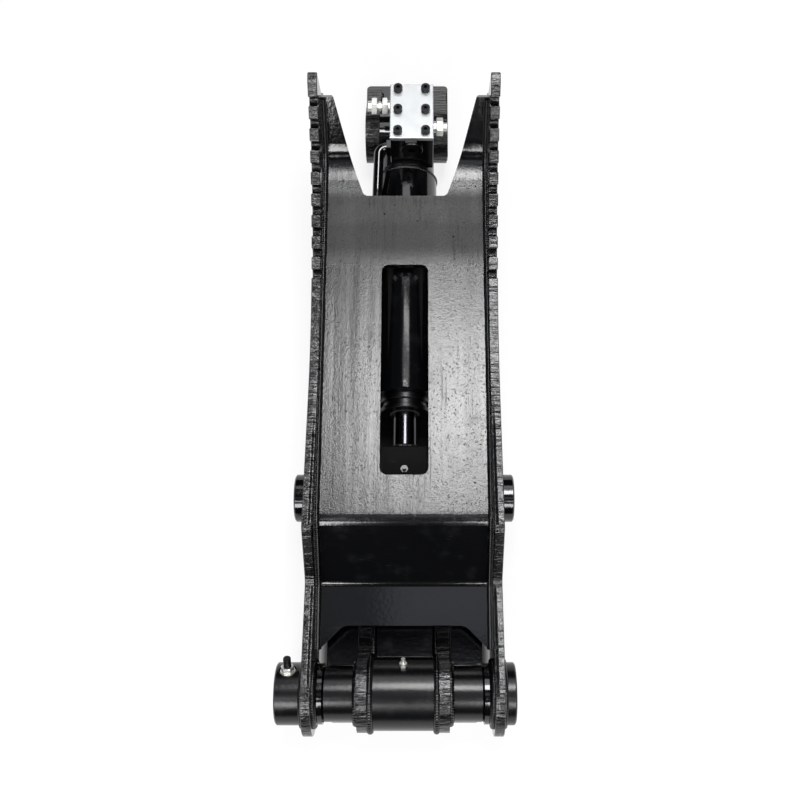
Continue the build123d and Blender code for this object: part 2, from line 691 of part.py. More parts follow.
seal_middle = PISTON_START + PISTON_LENGTH / 2
with BuildPart() as piston:
    turned(along, [(PISTON_START, NUT_START, BORE_R - RUNNING_FIT)], PISTON_BORE_R + WELD_FIT)
    with BuildSketch(along.offset(seal_middle - SEAL_LENGTH / 2)):
        Circle(BORE_R)
        Circle(BORE_R - SEAL_DEPTH, mode=Mode.SUBTRACT)
    extrude(amount=SEAL_LENGTH, mode=Mode.SUBTRACT)
save(piston, "piston")

with BuildPart() as piston_seal:
    turned(
        along,
        [(seal_middle - SEAL_LENGTH / 2, seal_middle + SEAL_LENGTH / 2, BORE_R - RUNNING_FIT)],
        BORE_R - SEAL_DEPTH + WELD_FIT,
    )
save(piston_seal, "piston_seal")

with BuildPart() as piston_nut:
    with BuildSketch(along.offset(NUT_START)):
        RegularPolygon(PISTON_NUT_FLATS / 2, 6, major_radius=False)
        Circle(PISTON_BORE_R + WELD_FIT, mode=Mode.SUBTRACT)
    extrude(amount=PISTON_NUT)
save(piston_nut, "piston_nut")

with BuildPart() as barrel_tube:
    turned(along, [(BARREL_START, BARREL_END, BARREL_R)], BORE_R)
    round_rims(barrel_tube, cylinder_axis, 2 * EDGE_BREAK)
save(barrel_tube, "barrel_tube")

wiper_end = GLAND_START + SEAL_LENGTH
rod_seal_start = GLAND_INNER_END - 2 * SEAL_LENGTH
with BuildPart() as gland_head:
    turned(
        along,
        [
            (GLAND_START, GLAND_RING_END, GLAND_R),
            (GLAND_RING_END, GLAND_GROOVE_END, GLAND_GROOVE_R),
            (GLAND_GROOVE_END, BARREL_START, GLAND_R),
            (BARREL_START, GLAND_INNER_END, BORE_R - WELD_FIT),
        ],
        ROD_R + RUNNING_FIT,
    )
    ring_rims = gland_head.edges().filter_by(GeomType.CIRCLE).filter_by(
        lambda rim: abs(rim.radius - GLAND_R) < WELD_FIT
    )
    chamfer(ring_rims.sort_by(cylinder_axis)[:-1], EDGE_BREAK)
    for start, end in ((GLAND_START, wiper_end), (rod_seal_start, rod_seal_start + SEAL_LENGTH)):
        with BuildSketch(along.offset(start)):
            Circle(ROD_R + SEAL_DEPTH)
        extrude(amount=end - start, mode=Mode.SUBTRACT)
save(gland_head, "gland_head")

for name, start in (("wiper_seal", GLAND_START), ("rod_seal", rod_seal_start)):
    with BuildPart() as seal:
        turned(
            along,
            [(start, start + SEAL_LENGTH, ROD_R + SEAL_DEPTH - WELD_FIT)],
            ROD_R + RUNNING_FIT,
        )
    save(seal, name)

base_bushing_r = BASE_PIN_R + RUNNING_FIT + BASE_EYE_WALL
with BuildPart() as base_cap_eye:
    turned(
        along,
        [
            (CAP_FACE, BARREL_END, BORE_R - WELD_FIT),
            (BARREL_END, BARREL_END + CAP_LENGTH, CAP_R),
            (BARREL_END + CAP_LENGTH, CLOSED_LENGTH, BASE_EYE_R - 2 * EDGE_BREAK),
        ],
    )
    turned(base_axis, [(-BASE_EYE_WIDTH / 2, BASE_EYE_WIDTH / 2, BASE_EYE_R)])
    with BuildSketch(base_axis.offset(-BASE_EYE_WIDTH / 2)):
        Circle(base_bushing_r + WELD_FIT)
    extrude(amount=BASE_EYE_WIDTH, mode=Mode.SUBTRACT)
    nipple_turn = radians(BASE_NIPPLE_HEADING)
    nipple_dir = cylinder.y_dir * cos(nipple_turn) + cylinder.z_dir * sin(nipple_turn)
    base_nipple = Plane(base_axis.origin, x_dir=cylinder.x_dir, z_dir=nipple_dir).offset(BASE_EYE_R)
    nipple_hole(base_nipple)
save(base_cap_eye, "base_cap_eye")

with BuildPart() as base_eye_bushing:
    turned(base_axis, [(-BASE_EYE_WIDTH / 2, BASE_EYE_WIDTH / 2, base_bushing_r)], BASE_PIN_R + RUNNING_FIT)
save(base_eye_bushing, "base_eye_bushing")

with BuildPart() as base_eye_nipple:
    grease_nipple(base_nipple)
save(base_eye_nipple, "base_eye_nipple")

# Valve block, saddled on the barrel's end, with its bolted cover, plug and hose adapters
block_start = CLOSED_LENGTH - BLOCK_FRONT
block_middle = block_start + BLOCK_LENGTH / 2
tube_port_along = CLOSED_LENGTH - TUBE_PORT_BACK
block_left = BLOCK_OFFSET - BLOCK_WIDTH / 2
block_right = BLOCK_OFFSET + BLOCK_WIDTH / 2
screw_grid = GridLocations(SCREW_SPACING, SCREW_PITCH, 2, 3)
plug_plane = cylinder_plane(BLOCK_OFFSET, block_start, PLUG_HEIGHT, -cylinder.y_dir)
left_port = cylinder_plane(
    block_left, CLOSED_LENGTH - LEFT_ADAPTER_BACK, ADAPTER_HEIGHT, -cylinder.x_dir, cylinder.y_dir
)
right_port = cylinder_plane(
    block_right, CLOSED_LENGTH - RIGHT_ADAPTER_BACK, ADAPTER_HEIGHT, cylinder.x_dir, cylinder.y_dir
)
tube_port = cylinder_plane(block_left, tube_port_along, TUBE_PORT_HEIGHT, -cylinder.x_dir, cylinder.y_dir)


def block_plane(height):
    """Plane above the cylinder axis, centred on the valve block."""
    return cylinder_plane(BLOCK_OFFSET, block_middle, height, cylinder.z_dir)


with BuildPart() as valve_block:
    with BuildSketch(block_plane(BLOCK_BOTTOM)):
        Rectangle(BLOCK_WIDTH, BLOCK_LENGTH)
    extrude(amount=BLOCK_TOP - BLOCK_BOTTOM)
    chamfer(valve_block.edges().filter_by(Axis(cylinder.origin, cylinder.z_dir)), EDGE_BREAK)
    with BuildSketch(along.offset(block_start - EDGE_BREAK)):
        Circle(CAP_R + WELD_FIT)
    extrude(amount=BLOCK_LENGTH + 2 * EDGE_BREAK, mode=Mode.SUBTRACT)
    with BuildSketch(base_axis):
        Circle(BASE_EYE_R + WELD_FIT)
    extrude(amount=BLOCK_WIDTH, both=True, mode=Mode.SUBTRACT)
    with BuildSketch(block_plane(BLOCK_TOP)):
        with screw_grid:
            Circle(SCREW_R + WELD_FIT)
    extrude(amount=-SCREW_DEPTH, mode=Mode.SUBTRACT)
    with BuildSketch(plug_plane):
        Circle(PLUG_THREAD_R + WELD_FIT)
    extrude(amount=-PLUG_DEPTH, mode=Mode.SUBTRACT)
    for port in (left_port, right_port):
        with BuildSketch(port):
            Circle(ADAPTER_SEAT_R + WELD_FIT)
        extrude(amount=-ADAPTER_SINK, mode=Mode.SUBTRACT)
    with BuildSketch(tube_port):
        Circle(TUBE_R + WELD_FIT)
    extrude(amount=-TUBE_SINK, mode=Mode.SUBTRACT)
save(valve_block, "valve_block")

with BuildPart() as valve_cover_plate:
    with BuildSketch(block_plane(BLOCK_TOP)):
        Rectangle(BLOCK_WIDTH, BLOCK_LENGTH)
        with screw_grid:
            Circle(SCREW_R + WELD_FIT, mode=Mode.SUBTRACT)
    extrude(amount=COVER)
    chamfer(valve_cover_plate.faces().sort_by(Axis.Z)[-1].outer_wire().edges(), EDGE_BREAK)
save(valve_cover_plate, "valve_cover_plate")

with BuildPart() as valve_screws:
    with BuildSketch(block_plane(BLOCK_TOP + COVER)):
        with screw_grid:
            Circle(SCREW_R)
    extrude(amount=-COVER - SCREW_DEPTH + EDGE_BREAK)
    with BuildSketch(block_plane(BLOCK_TOP + COVER)):
        with screw_grid:
            Circle(SCREW_HEAD_R)
    extrude(amount=SCREW_HEAD)
    with BuildSketch(block_plane(BLOCK_TOP + COVER + SCREW_HEAD)):
        with screw_grid:
            RegularPolygon(SCREW_SOCKET_FLATS / 2, 6, major_radius=False)
    extrude(amount=-SCREW_HEAD / 2, mode=Mode.SUBTRACT)
save(valve_screws, "valve_screws")

with BuildPart() as port_plug:
    turned(plug_plane, [(-PLUG_DEPTH + EDGE_BREAK, 0, PLUG_THREAD_R), (0, PLUG_FLANGE, PLUG_R)])
    chamfer(port_plug.edges().filter_by(GeomType.CIRCLE).sort_by(Axis.Y)[0], EDGE_BREAK)
    with BuildSketch(plug_plane.offset(PLUG_FLANGE)):
        RegularPolygon(PLUG_SOCKET_FLATS / 2, 6, major_radius=False)
    extrude(amount=-PLUG_DEPTH / 2, mode=Mode.SUBTRACT)
save(port_plug, "port_plug")


def hose_adapter(port, sections, turn):
    """Hose adapter screwed into a port: sections of (length, radius), radius 0 for a hexagon."""
    turned(port, [(EDGE_BREAK - ADAPTER_SINK, 0, ADAPTER_SEAT_R)])
    start = 0
    for length, radius in sections:
        with BuildSketch(port.offset(start)) as section:
            if radius:
                Circle(radius)
            else:
                RegularPolygon(ADAPTER_HEX_FLATS / 2, 6, major_radius=False, rotation=turn)
        extrude(section.sketch, amount=length)
        start += length
    with BuildSketch(port.offset(start)) as oilway:
        Circle(ADAPTER_BORE_R)
    extrude(oilway.sketch, amount=-start - ADAPTER_SINK, mode=Mode.SUBTRACT)


with BuildPart() as hose_adapter_left:
    left_sections = [
        (ADAPTER_SEAT, ADAPTER_SEAT_R),
        (LEFT_ADAPTER_HEX, 0),
        (LEFT_ADAPTER_NECK, LEFT_ADAPTER_NECK_R),
        (LEFT_ADAPTER_HEX, 0),
        (ADAPTER_END, LEFT_ADAPTER_END_R),
    ]
    hose_adapter(left_port, left_sections, 0)
save(hose_adapter_left, "hose_adapter_left")

with BuildPart() as hose_adapter_right:
    right_sections = [
        (ADAPTER_SEAT, ADAPTER_SEAT_R),
        (RIGHT_ADAPTER_HEX, 0),
        (ADAPTER_END, RIGHT_ADAPTER_END_R),
    ]
    hose_adapter(right_port, right_sections, RIGHT_ADAPTER_TURN)
save(hose_adapter_right, "hose_adapter_right")

# Oil tube from the valve block to the port at the gland end
tube_end = HEAD_PORT_ALONG + HEAD_PORT_LENGTH / 2 - TUBE_SINK
tube_route = [
    cylinder_point(block_left + TUBE_SINK, tube_port_along, TUBE_PORT_HEIGHT),
    cylinder_point(block_left - TUBE_ELBOW_REACH, tube_port_along, TUBE_PORT_HEIGHT),
    cylinder_point(TUBE_DROP_ACROSS, tube_port_along - TUBE_DROP, TUBE_DROP_HEIGHT),
    cylinder_point(TUBE_ACROSS, tube_end + TUBE_STRAIGHT, TUBE_HEIGHT),
    cylinder_point(TUBE_ACROSS, tube_end, TUBE_HEIGHT),
]
with BuildPart() as oil_tube:
    with BuildLine() as tube_line:
        FilletPolyline(*tube_route, radius=[TUBE_ELBOW_R, TUBE_BEND_R, TUBE_BEND_R])
    with BuildSketch(Plane(tube_line.line @ 0, z_dir=tube_line.line % 0)):
        Circle(TUBE_R)
        Circle(TUBE_R - TUBE_WALL, mode=Mode.SUBTRACT)
    sweep()
save(oil_tube, "oil_tube")

with BuildPart() as tube_nut:
    with BuildSketch(tube_port):
        RegularPolygon(TUBE_NUT_FLATS / 2, 6, major_radius=False)
        Circle(TUBE_R + WELD_FIT, mode=Mode.SUBTRACT)
    extrude(amount=TUBE_NUT)
save(tube_nut, "tube_nut")

with BuildPart() as head_port_block:
    with BuildSketch(cylinder_plane(TUBE_ACROSS, HEAD_PORT_ALONG, TUBE_HEIGHT, cylinder.y_dir)):
        RectangleRounded(HEAD_PORT_SIZE, HEAD_PORT_SIZE, 3 * EDGE_BREAK)
    extrude(amount=HEAD_PORT_LENGTH / 2, both=True)
    with BuildSketch(along.offset(HEAD_PORT_ALONG - HEAD_PORT_LENGTH)):
        Circle(BARREL_R + WELD_FIT)
    extrude(amount=2 * HEAD_PORT_LENGTH, mode=Mode.SUBTRACT)
    with BuildSketch(cylinder_plane(TUBE_ACROSS, tube_end, TUBE_HEIGHT, cylinder.y_dir)):
        Circle(TUBE_R + WELD_FIT)
    extrude(amount=TUBE_SINK, mode=Mode.SUBTRACT)
save(head_port_block, "head_port_block")

# Weld-on cylinder bracket: two thick ears on a base plate, with the base pin
cylinder_side = side_plane(0, BASE_PIN_Y, BASE_PIN_HEIGHT - PIVOT_HEIGHT)
cylinder_foot = BASE_PLATE - BASE_PIN_HEIGHT
base_ring_start = CYLINDER_EAR_OUTSIDE - RING_FROM_END - RING
for side, name in SIDES:
    with BuildPart() as cylinder_ear:
        with BuildSketch(cylinder_side.offset(side * CYLINDER_EAR_INSIDE)) as ear_outline:
            head = (0, 0, CYLINDER_EAR_HEAD_R)
            toe_top = (CYLINDER_BASE_BACK - BASE_CORNER_R, cylinder_foot + CYLINDER_EAR_RISE)
            front_foot = (CYLINDER_BASE_FRONT, cylinder_foot)
            toe_side = heading_of(head, (*toe_top, 0), 1)
            front_side = heading_of(head, (*front_foot, 0), -1)
            with BuildLine():
                Polyline(
                    on_circle(head, toe_side),
                    toe_top,
                    (toe_top[0], cylinder_foot),
                    front_foot,
                    on_circle(head, front_side),
                )
                CenterArc((0, 0), CYLINDER_EAR_HEAD_R, front_side, toe_side - front_side - 360)
            make_face()
            round_corners(ear_outline, [(toe_top, 5 * EDGE_BREAK)])
            Circle(BASE_PIN_R + WELD_FIT, mode=Mode.SUBTRACT)
        extrude(amount=side * CYLINDER_EAR)
        ring_groove(cylinder_side, base_ring_start if side > 0 else -base_ring_start - RING, BASE_PIN_R)
    save(cylinder_ear, f"cylinder_ear_{name}")

with BuildPart() as cylinder_base_plate:
    with BuildSketch():
        with Locations((0, BASE_PIN_Y + (CYLINDER_BASE_FRONT + CYLINDER_BASE_BACK) / 2)):
            RectangleRounded(
                CYLINDER_BASE_WIDTH, CYLINDER_BASE_BACK - CYLINDER_BASE_FRONT, BASE_CORNER_R / 2
            )
    extrude(amount=BASE_PLATE)
    chamfer(cylinder_base_plate.faces().sort_by(Axis.Z)[-1].edges(), EDGE_BREAK)
save(cylinder_base_plate, "cylinder_base_plate")

with BuildPart() as base_pin:
    retained_pin(cylinder_side, base_ring_start - SIDE_GAP, BASE_PIN_R)
    round_rims(base_pin, Axis.X, EDGE_BREAK)
save(base_pin, "base_pin")

with BuildPart() as base_pin_rings:
    retaining_rings(cylinder_side, (-base_ring_start - RING, base_ring_start), BASE_PIN_R)
save(base_pin_rings, "base_pin_rings")
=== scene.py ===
"""Studio scene of a hydraulic excavator thumb, its cylinder and its two weld-on brackets."""
import json
import logging
import math
from dataclasses import dataclass
from enum import Enum
from typing import Iterable, Optional, Sequence, Union

import bmesh
import bpy
from mathutils import Matrix, Vector


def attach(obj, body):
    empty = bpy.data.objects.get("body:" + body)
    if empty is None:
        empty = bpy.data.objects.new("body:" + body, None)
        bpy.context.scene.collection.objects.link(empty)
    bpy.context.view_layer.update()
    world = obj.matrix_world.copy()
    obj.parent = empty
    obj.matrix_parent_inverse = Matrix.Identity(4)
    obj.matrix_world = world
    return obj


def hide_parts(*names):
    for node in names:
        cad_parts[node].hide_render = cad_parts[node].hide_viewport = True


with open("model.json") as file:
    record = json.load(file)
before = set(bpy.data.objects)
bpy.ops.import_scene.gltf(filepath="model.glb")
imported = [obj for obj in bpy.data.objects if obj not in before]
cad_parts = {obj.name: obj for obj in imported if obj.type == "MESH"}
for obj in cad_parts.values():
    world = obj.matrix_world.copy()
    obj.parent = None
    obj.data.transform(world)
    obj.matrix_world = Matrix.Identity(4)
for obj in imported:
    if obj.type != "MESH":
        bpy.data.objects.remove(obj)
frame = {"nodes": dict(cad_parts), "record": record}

log = logging.getLogger("thumb")

Number = Union[int, float]
Operand = Union["Value", Number]
Colour = tuple[float, float, float]
Point = tuple[float, float, float]
Flat = tuple[float, float]

HEXAGON_FACE_SHARE = 0.485
HEXAGON_BEVEL_MIDDLE = 0.45
HEXAGON_BEVEL_BULGE = 0.0002
THREAD_POINTS = 24
COOL = (0.93, 0.95, 1.0)
BLUE = (0.85, 0.90, 1.0)
SHARP_EDGE = math.radians(24)


class Body(Enum):
    """The bodies that move against each other."""

    BRACKET = "pivot_bracket"
    THUMB = "thumb"
    ROD = "rod"
    BARREL = "barrel"
    CYLINDER_BRACKET = "cylinder_bracket"


class Slot(Enum):
    """The record's material slots that new pieces stand for."""

    PAINT = "gloss_black_paint"
    ZINC = "zinc_steel"


def placed(name: str, data: bpy.types.ID) -> bpy.types.Object:
    """Put a mesh, a lamp or a camera in the scene.

    Args:
        name: The new object's name.
        data: The mesh, lamp or camera.

    Returns:
        The object, at the origin.
    """
    piece = bpy.data.objects.new(name, data)
    bpy.context.scene.collection.objects.link(piece)
    return piece


# Shader maths


@dataclass(frozen=True)
class Pattern:
    """A noise, by its density per metre (even or along X, Y and Z), finer layers and turn in degrees."""

    density: Union[float, Point]
    detail: float = 3.0
    turn: float = 0.0


class Value:
    """A number socket of a material, which Python's arithmetic turns into Math nodes."""

    def __init__(self, shader: "Shader", socket: bpy.types.NodeSocket) -> None:
        """Keep the socket and the shader that it belongs to.

        Args:
            shader: The material that new Math nodes go into.
            socket: The output socket that holds the number.
        """
        self.shader = shader
        self.socket = socket

    def math(self, operation: str, *others: Operand, clamp: bool = False) -> "Value":
        """Apply a Math node to this value.

        Args:
            operation: The Math node's operation.
            others: The second and third operands.
            clamp: Whether the result is held between 0 and 1.

        Returns:
            The result as a new value.
        """
        sockets = {place: other for place, other in enumerate((self, *others))}
        settings = {"operation": operation, "use_clamp": clamp}
        return self.shader.value(self.shader.add("ShaderNodeMath", settings, sockets))

    def __add__(self, other: Operand) -> "Value":
        """This value plus another."""
        return self.math("ADD", other)

    __radd__ = __add__

    def __sub__(self, other: Operand) -> "Value":
        """This value minus another."""
        return self.math("SUBTRACT", other)

    def __rsub__(self, other: Number) -> "Value":
        """A number minus this value."""
        return self * -1 + other

    def __mul__(self, other: Operand) -> "Value":
        """This value times another."""
        return self.math("MULTIPLY", other)

    __rmul__ = __mul__

    def size(self) -> "Value":
        """This value without its sign."""
        return self.math("ABSOLUTE")

    def step(self, low: Number, high: Number) -> "Value":
        """Rise smoothly from 0 at one value to 1 at another.

        Args:
            low: The value where the result is 0.
            high: The value where the result is 1.

        Returns:
            The smooth step, between 0 and 1.
        """
        settings = {"interpolation_type": "SMOOTHSTEP"}
        sockets = {"Value": self, "From Min": low, "From Max": high, "To Min": 0.0, "To Max": 1.0}
        return self.shader.value(self.shader.add("ShaderNodeMapRange", settings, sockets))

    def within(self, rise: Flat, fall: Flat) -> "Value":
        """Rise smoothly from 0 to 1 over one span and fall back to 0 over another.

        Args:
            rise: The span of the rise.
            fall: The span of the fall.

        Returns:
            The rise times the fall, between 0 and 1.
        """
        return self.step(*rise) * (1 - self.step(*fall))


class Nodes:
    """A tree whose nodes all come from one method."""

    def __init__(self, tree: bpy.types.NodeTree) -> None:
        """Keep the tree.

        Args:
            tree: The tree that the nodes go into.
        """
        self.tree = tree

    def add(
        self,
        kind: str,
        settings: Optional[dict[str, object]] = None,
        sockets: Optional[dict[Union[str, int], object]] = None,
    ) -> bpy.types.Node:
        """Make a node, set it up, and fill or link its sockets.

        Args:
            kind: The node's type.
            settings: Its properties, which are set first.
            sockets: A number, colour, socket or Value for each input that is set.

        Returns:
            The new node.
        """
        node = self.tree.nodes.new(kind)
        for key, setting in (settings or {}).items():
            setattr(node, key, setting)
        for key, given in (sockets or {}).items():
            given = given.socket if isinstance(given, Value) else given
            if isinstance(given, bpy.types.NodeSocket):
                self.tree.links.new(given, node.inputs[key])
            else:
                node.inputs[key].default_value = given
        return node


class Shader(Nodes):
    """The node tree of one material."""

    def __init__(self, name: str) -> None:
        """Start an empty material.

        Args:
            name: The material's name.
        """
        self.material = bpy.data.materials.new(name)
        self.material.use_nodes = True
        super().__init__(self.material.node_tree)
        self.tree.nodes.clear()
        self.place = self.add("ShaderNodeTexCoord").outputs["Object"]
        self.facing = self.add("ShaderNodeNewGeometry").outputs["True Normal"]

    def value(self, node: bpy.types.Node, output: Union[str, int] = 0) -> Value:
        """Wrap a node's output.

        Args:
            node: The node.
            output: The output's name or number.

        Returns:
            The output as a Value.
        """
        return Value(self, node.outputs[output])

    def noise(self, pattern: Pattern) -> Value:
        """Noise between 0 and 1 over the object's own coordinates.

        Args:
            pattern: The noise's density, detail and turn.

        Returns:
            The noise as a Value.
        """
        vector, scale = self.place, pattern.density
        if not isinstance(scale, float):
            turned = (0.0, 0.0, math.radians(pattern.turn))
            stretched = {"Vector": self.place, "Rotation": turned, "Scale": scale}
            vector = self.add("ShaderNodeMapping", {"vector_type": "POINT"}, stretched).outputs[0]
            scale = 1.0
        sockets = {"Vector": vector, "Scale": scale, "Detail": pattern.detail}
        return self.value(self.add("ShaderNodeTexNoise", None, sockets))

    def along(self, axis: str) -> Value:
        """One of the object's own coordinates, in metres."""
        return self.value(self.add("ShaderNodeSeparateXYZ", None, {0: self.place}), axis)

    def normal(self, axis: str) -> Value:
        """One component of the surface's direction."""
        return self.value(self.add("ShaderNodeSeparateXYZ", None, {0: self.facing}), axis)

    def mix(
        self, share: Value, first: Union[Colour, bpy.types.NodeSocket], second: Colour
    ) -> bpy.types.NodeSocket:
        """Mix two colours.

        Args:
            share: The share of the second colour.
            first: The first colour, or a colour socket.
            second: The second colour.

        Returns:
            The colour socket.
        """
        start = first if isinstance(first, bpy.types.NodeSocket) else (*first, 1.0)
        sockets = {0: share, 6: start, 7: (*second, 1.0)}
        return self.add("ShaderNodeMix", {"data_type": "RGBA"}, sockets).outputs[2]

    def bump(
        self, height: Value, depth: Number, under: Optional[bpy.types.NodeSocket] = None
    ) -> bpy.types.NodeSocket:
        """Turn a height into a surface direction.

        Args:
            height: The height, between 0 and 1.
            depth: The height of 1, in metres.
            under: A direction that this bump lies on.

        Returns:
            The normal socket.
        """
        sockets = {"Strength": 1.0, "Distance": depth, "Height": height}
        if under is not None:
            sockets["Normal"] = under
        return self.add("ShaderNodeBump", None, sockets).outputs[0]

    def finish(self, constants: dict[str, object], varying: dict[str, object]) -> bpy.types.Material:
        """Close the material with a Principled shader.

        Args:
            constants: The sockets that hold one value all over.
            varying: The sockets that follow the surface.

        Returns:
            The finished material.
        """
        shader = self.add("ShaderNodeBsdfPrincipled", None, {**constants, **varying})
        self.add("ShaderNodeOutputMaterial", None, {"Surface": shader.outputs[0]})
        return self.material


# Finishes


@dataclass(frozen=True)
class GlossPaint:
    """Black enamel sprayed over steel, with orange peel, dust and fine scratches."""

    name: str
    colour: Colour = (0.0012, 0.0013, 0.0016)
    dust_colour: Colour = (0.030, 0.031, 0.034)
    scratch_colour: Colour = (0.055, 0.055, 0.058)
    shine: float = 0.6
    roughness: float = 0.11
    grain_depth: float = 0.000015
    peel_depth: float = 0.00008
    scratches: float = 0.35
    broad: Pattern = Pattern(7.0, 4.0)
    cloud: Pattern = Pattern(38.0, 5.0)
    grain: Pattern = Pattern(900.0, 4.0)
    peel: Pattern = Pattern(170.0, 2.0)
    strokes: Pattern = Pattern((34.0, 520.0, 520.0), 3.0, 28.0)
    nicks: Pattern = Pattern((640.0, 60.0, 640.0), 3.0, -14.0)

    def build(self) -> bpy.types.Material:
        """Make the paint's material.

        Returns:
            The material.
        """
        shader = Shader(self.name)
        cloud = shader.noise(self.cloud)
        grain = shader.noise(self.grain)
        strokes = shader.noise(self.strokes).step(0.69, 0.73)
        nicks = shader.noise(self.nicks).step(0.71, 0.75)
        worn = (strokes + nicks) * cloud.step(0.5, 0.66) * self.scratches
        dust = cloud.step(0.52, 0.8) * shader.normal("Z").step(0.2, 0.95)
        rough = shader.noise(self.broad) * 0.08 + grain * 0.04 + dust * 0.05 + worn * 0.20
        normal = shader.bump(shader.noise(self.peel), self.peel_depth)
        colour = shader.mix(dust * 0.10, self.colour, self.dust_colour)
        coat = {
            "Base Color": shader.mix(worn.math("MULTIPLY", 0.5, clamp=True), colour, self.scratch_colour),
            "Roughness": rough + (self.roughness - 0.07),
            "Normal": shader.bump(grain, self.grain_depth, normal),
        }
        self.change(shader, coat)
        return shader.finish({"Specular IOR Level": self.shine}, coat)

    def change(self, shader: Shader, coat: dict[str, object]) -> None:
        """Leave the coat as it is, because the steel under it is smooth."""


@dataclass(frozen=True)
class FlameCutPaint(GlossPaint):
    """Gloss paint on flame-cut plate, whose cut edges show tears, drag lines and a rolled lip."""

    drag: Pattern = Pattern((6.0, 430.0, 430.0), 3.0)
    tears: Pattern = Pattern((30.0, 120.0, 120.0), 4.0)
    tear_depth: float = 0.0019
    lip_depth: float = 0.0014
    drag_depth: float = 0.0005
    lip: Flat = (0.1265, 0.1325)
    lip_fade: Flat = (0.33, 0.47)
    bare_colour: Colour = (0.010, 0.010, 0.010)

    def change(self, shader: Shader, coat: dict[str, object]) -> None:
        """Roughen the plate's cut edges.

        Args:
            shader: The material.
            coat: The paint's colour, roughness and direction.
        """
        edge = 1 - shader.normal("X").size().step(0.55, 0.8)
        drag = shader.noise(self.drag)
        torn = shader.noise(self.tears)
        lip = shader.along("X").size().step(*self.lip) * (1 - shader.along("Y").step(*self.lip_fade))
        coat["Roughness"] = coat["Roughness"] + edge * (drag * 0.14 + 0.03)
        normal = shader.bump(torn * edge, self.tear_depth, coat["Normal"])
        normal = shader.bump(lip * edge, self.lip_depth, normal)
        coat["Normal"] = shader.bump(drag * edge * torn.step(0.30, 0.62), self.drag_depth, normal)
        thin = edge * (drag.step(0.5, 0.8) * 0.3)
        coat["Base Color"] = shader.mix(thin, coat["Base Color"], self.bare_colour)


@dataclass(frozen=True)
class RolledSheetPaint(GlossPaint):
    """Gloss paint on the folded web, where the sheet's grain and drawn streaks show through."""

    scale: Pattern = Pattern(520.0, 4.0)
    pits: Pattern = Pattern(300.0, 5.0)
    specks: Pattern = Pattern(150.0, 3.0)
    drawn: Pattern = Pattern((34.0, 2.4, 34.0), 5.0)
    runs: Pattern = Pattern((300.0, 9.0, 300.0), 4.0)
    run_patches: Pattern = Pattern(9.0, 2.0)
    scale_depth: float = 0.00019
    drawn_depth: float = 0.00085
    panel_foot: Flat = (0.230, 0.252)
    panel_end: Flat = (0.790, 0.815)
    leg_foot: Flat = (0.620, 0.665)
    leg_end: Flat = (0.740, 0.765)
    haze_colour: Colour = (0.014, 0.014, 0.015)

    def change(self, shader: Shader, coat: dict[str, object]) -> None:
        """Let the grain show on the level main panel, and dull the paint on its two legs.

        Args:
            shader: The material.
            coat: The paint's colour, roughness and direction.
        """
        reach = shader.along("Y")
        panel = reach.within(self.panel_foot, self.panel_end) * shader.normal("Z").step(0.85, 0.95)
        scale = shader.noise(self.scale)
        pits = shader.noise(self.pits).step(0.60, 0.70)
        specks = shader.noise(self.specks).step(0.73, 0.745)
        drawn = shader.noise(self.drawn)
        runs = shader.noise(self.runs).step(0.52, 0.72) * shader.noise(self.run_patches).step(0.45, 0.6)
        legs = reach.within(self.leg_foot, self.leg_end)
        marks = drawn * 0.16 + scale * 0.12 + runs * 0.12 + specks * 0.8
        coat["Roughness"] = coat["Roughness"] + panel * marks + legs * 0.32
        normal = shader.bump((scale + pits * 0.6) * panel, self.scale_depth, coat["Normal"])
        coat["Normal"] = shader.bump(drawn * panel, self.drawn_depth, normal)
        haze = panel * (pits * 0.20 + drawn.step(0.45, 0.7) * 0.30)
        coat["Base Color"] = shader.mix(haze, coat["Base Color"], self.haze_colour)


@dataclass(frozen=True)
class MaskedPaint(GlossPaint):
    """Gloss paint on the valve block, with a small patch that was masked and shows ground steel."""

    low: Point = (0.0004, 0.8200, 0.1590)
    high: Point = (0.0172, 0.8320, 0.1760)
    soft: float = 0.0004
    ground: Pattern = Pattern((60.0, 900.0, 900.0), 3.0)
    steel: Colour = (0.62, 0.62, 0.61)

    def change(self, shader: Shader, coat: dict[str, object]) -> None:
        """Bare the steel inside the patch.

        Args:
            shader: The material.
            coat: The paint's colour, roughness and direction.
        """
        bare = None
        for axis, start, end in zip("XYZ", self.low, self.high):
            inside = shader.along(axis).within((start - self.soft, start), (end, end + self.soft))
            bare = inside if bare is None else bare * inside
        coat["Metallic"] = bare
        coat["Base Color"] = shader.mix(bare, coat["Base Color"], self.steel)
        coat["Roughness"] = coat["Roughness"] + bare * (shader.noise(self.ground) * 0.3 + 0.15)


@dataclass(frozen=True)
class BareMetal:
    """Bare or plated steel, bronze or chrome, with grain or turning marks and stains."""

    name: str
    colour: Colour
    stain: Colour
    roughness: float
    grain_depth: float = 0.00003
    grain: Pattern = Pattern((900.0, 900.0, 900.0), 4.0)
    cloud: Pattern = Pattern(48.0, 5.0)
    specks: Pattern = Pattern(420.0, 3.0)

    def build(self) -> bpy.types.Material:
        """Make the metal's material.

        Returns:
            The material.
        """
        shader = Shader(self.name)
        grain = shader.noise(self.grain)
        cloud = shader.noise(self.cloud)
        stains = cloud.step(0.42, 0.75) * 0.35 + shader.noise(self.specks).step(0.66, 0.74) * 0.25
        return shader.finish(
            {"Metallic": 1.0},
            {
                "Base Color": shader.mix(stains, self.colour, self.stain),
                "Roughness": grain * 0.12 + cloud * 0.10 + (self.roughness - 0.10),
                "Normal": shader.bump(grain, self.grain_depth),
            },
        )


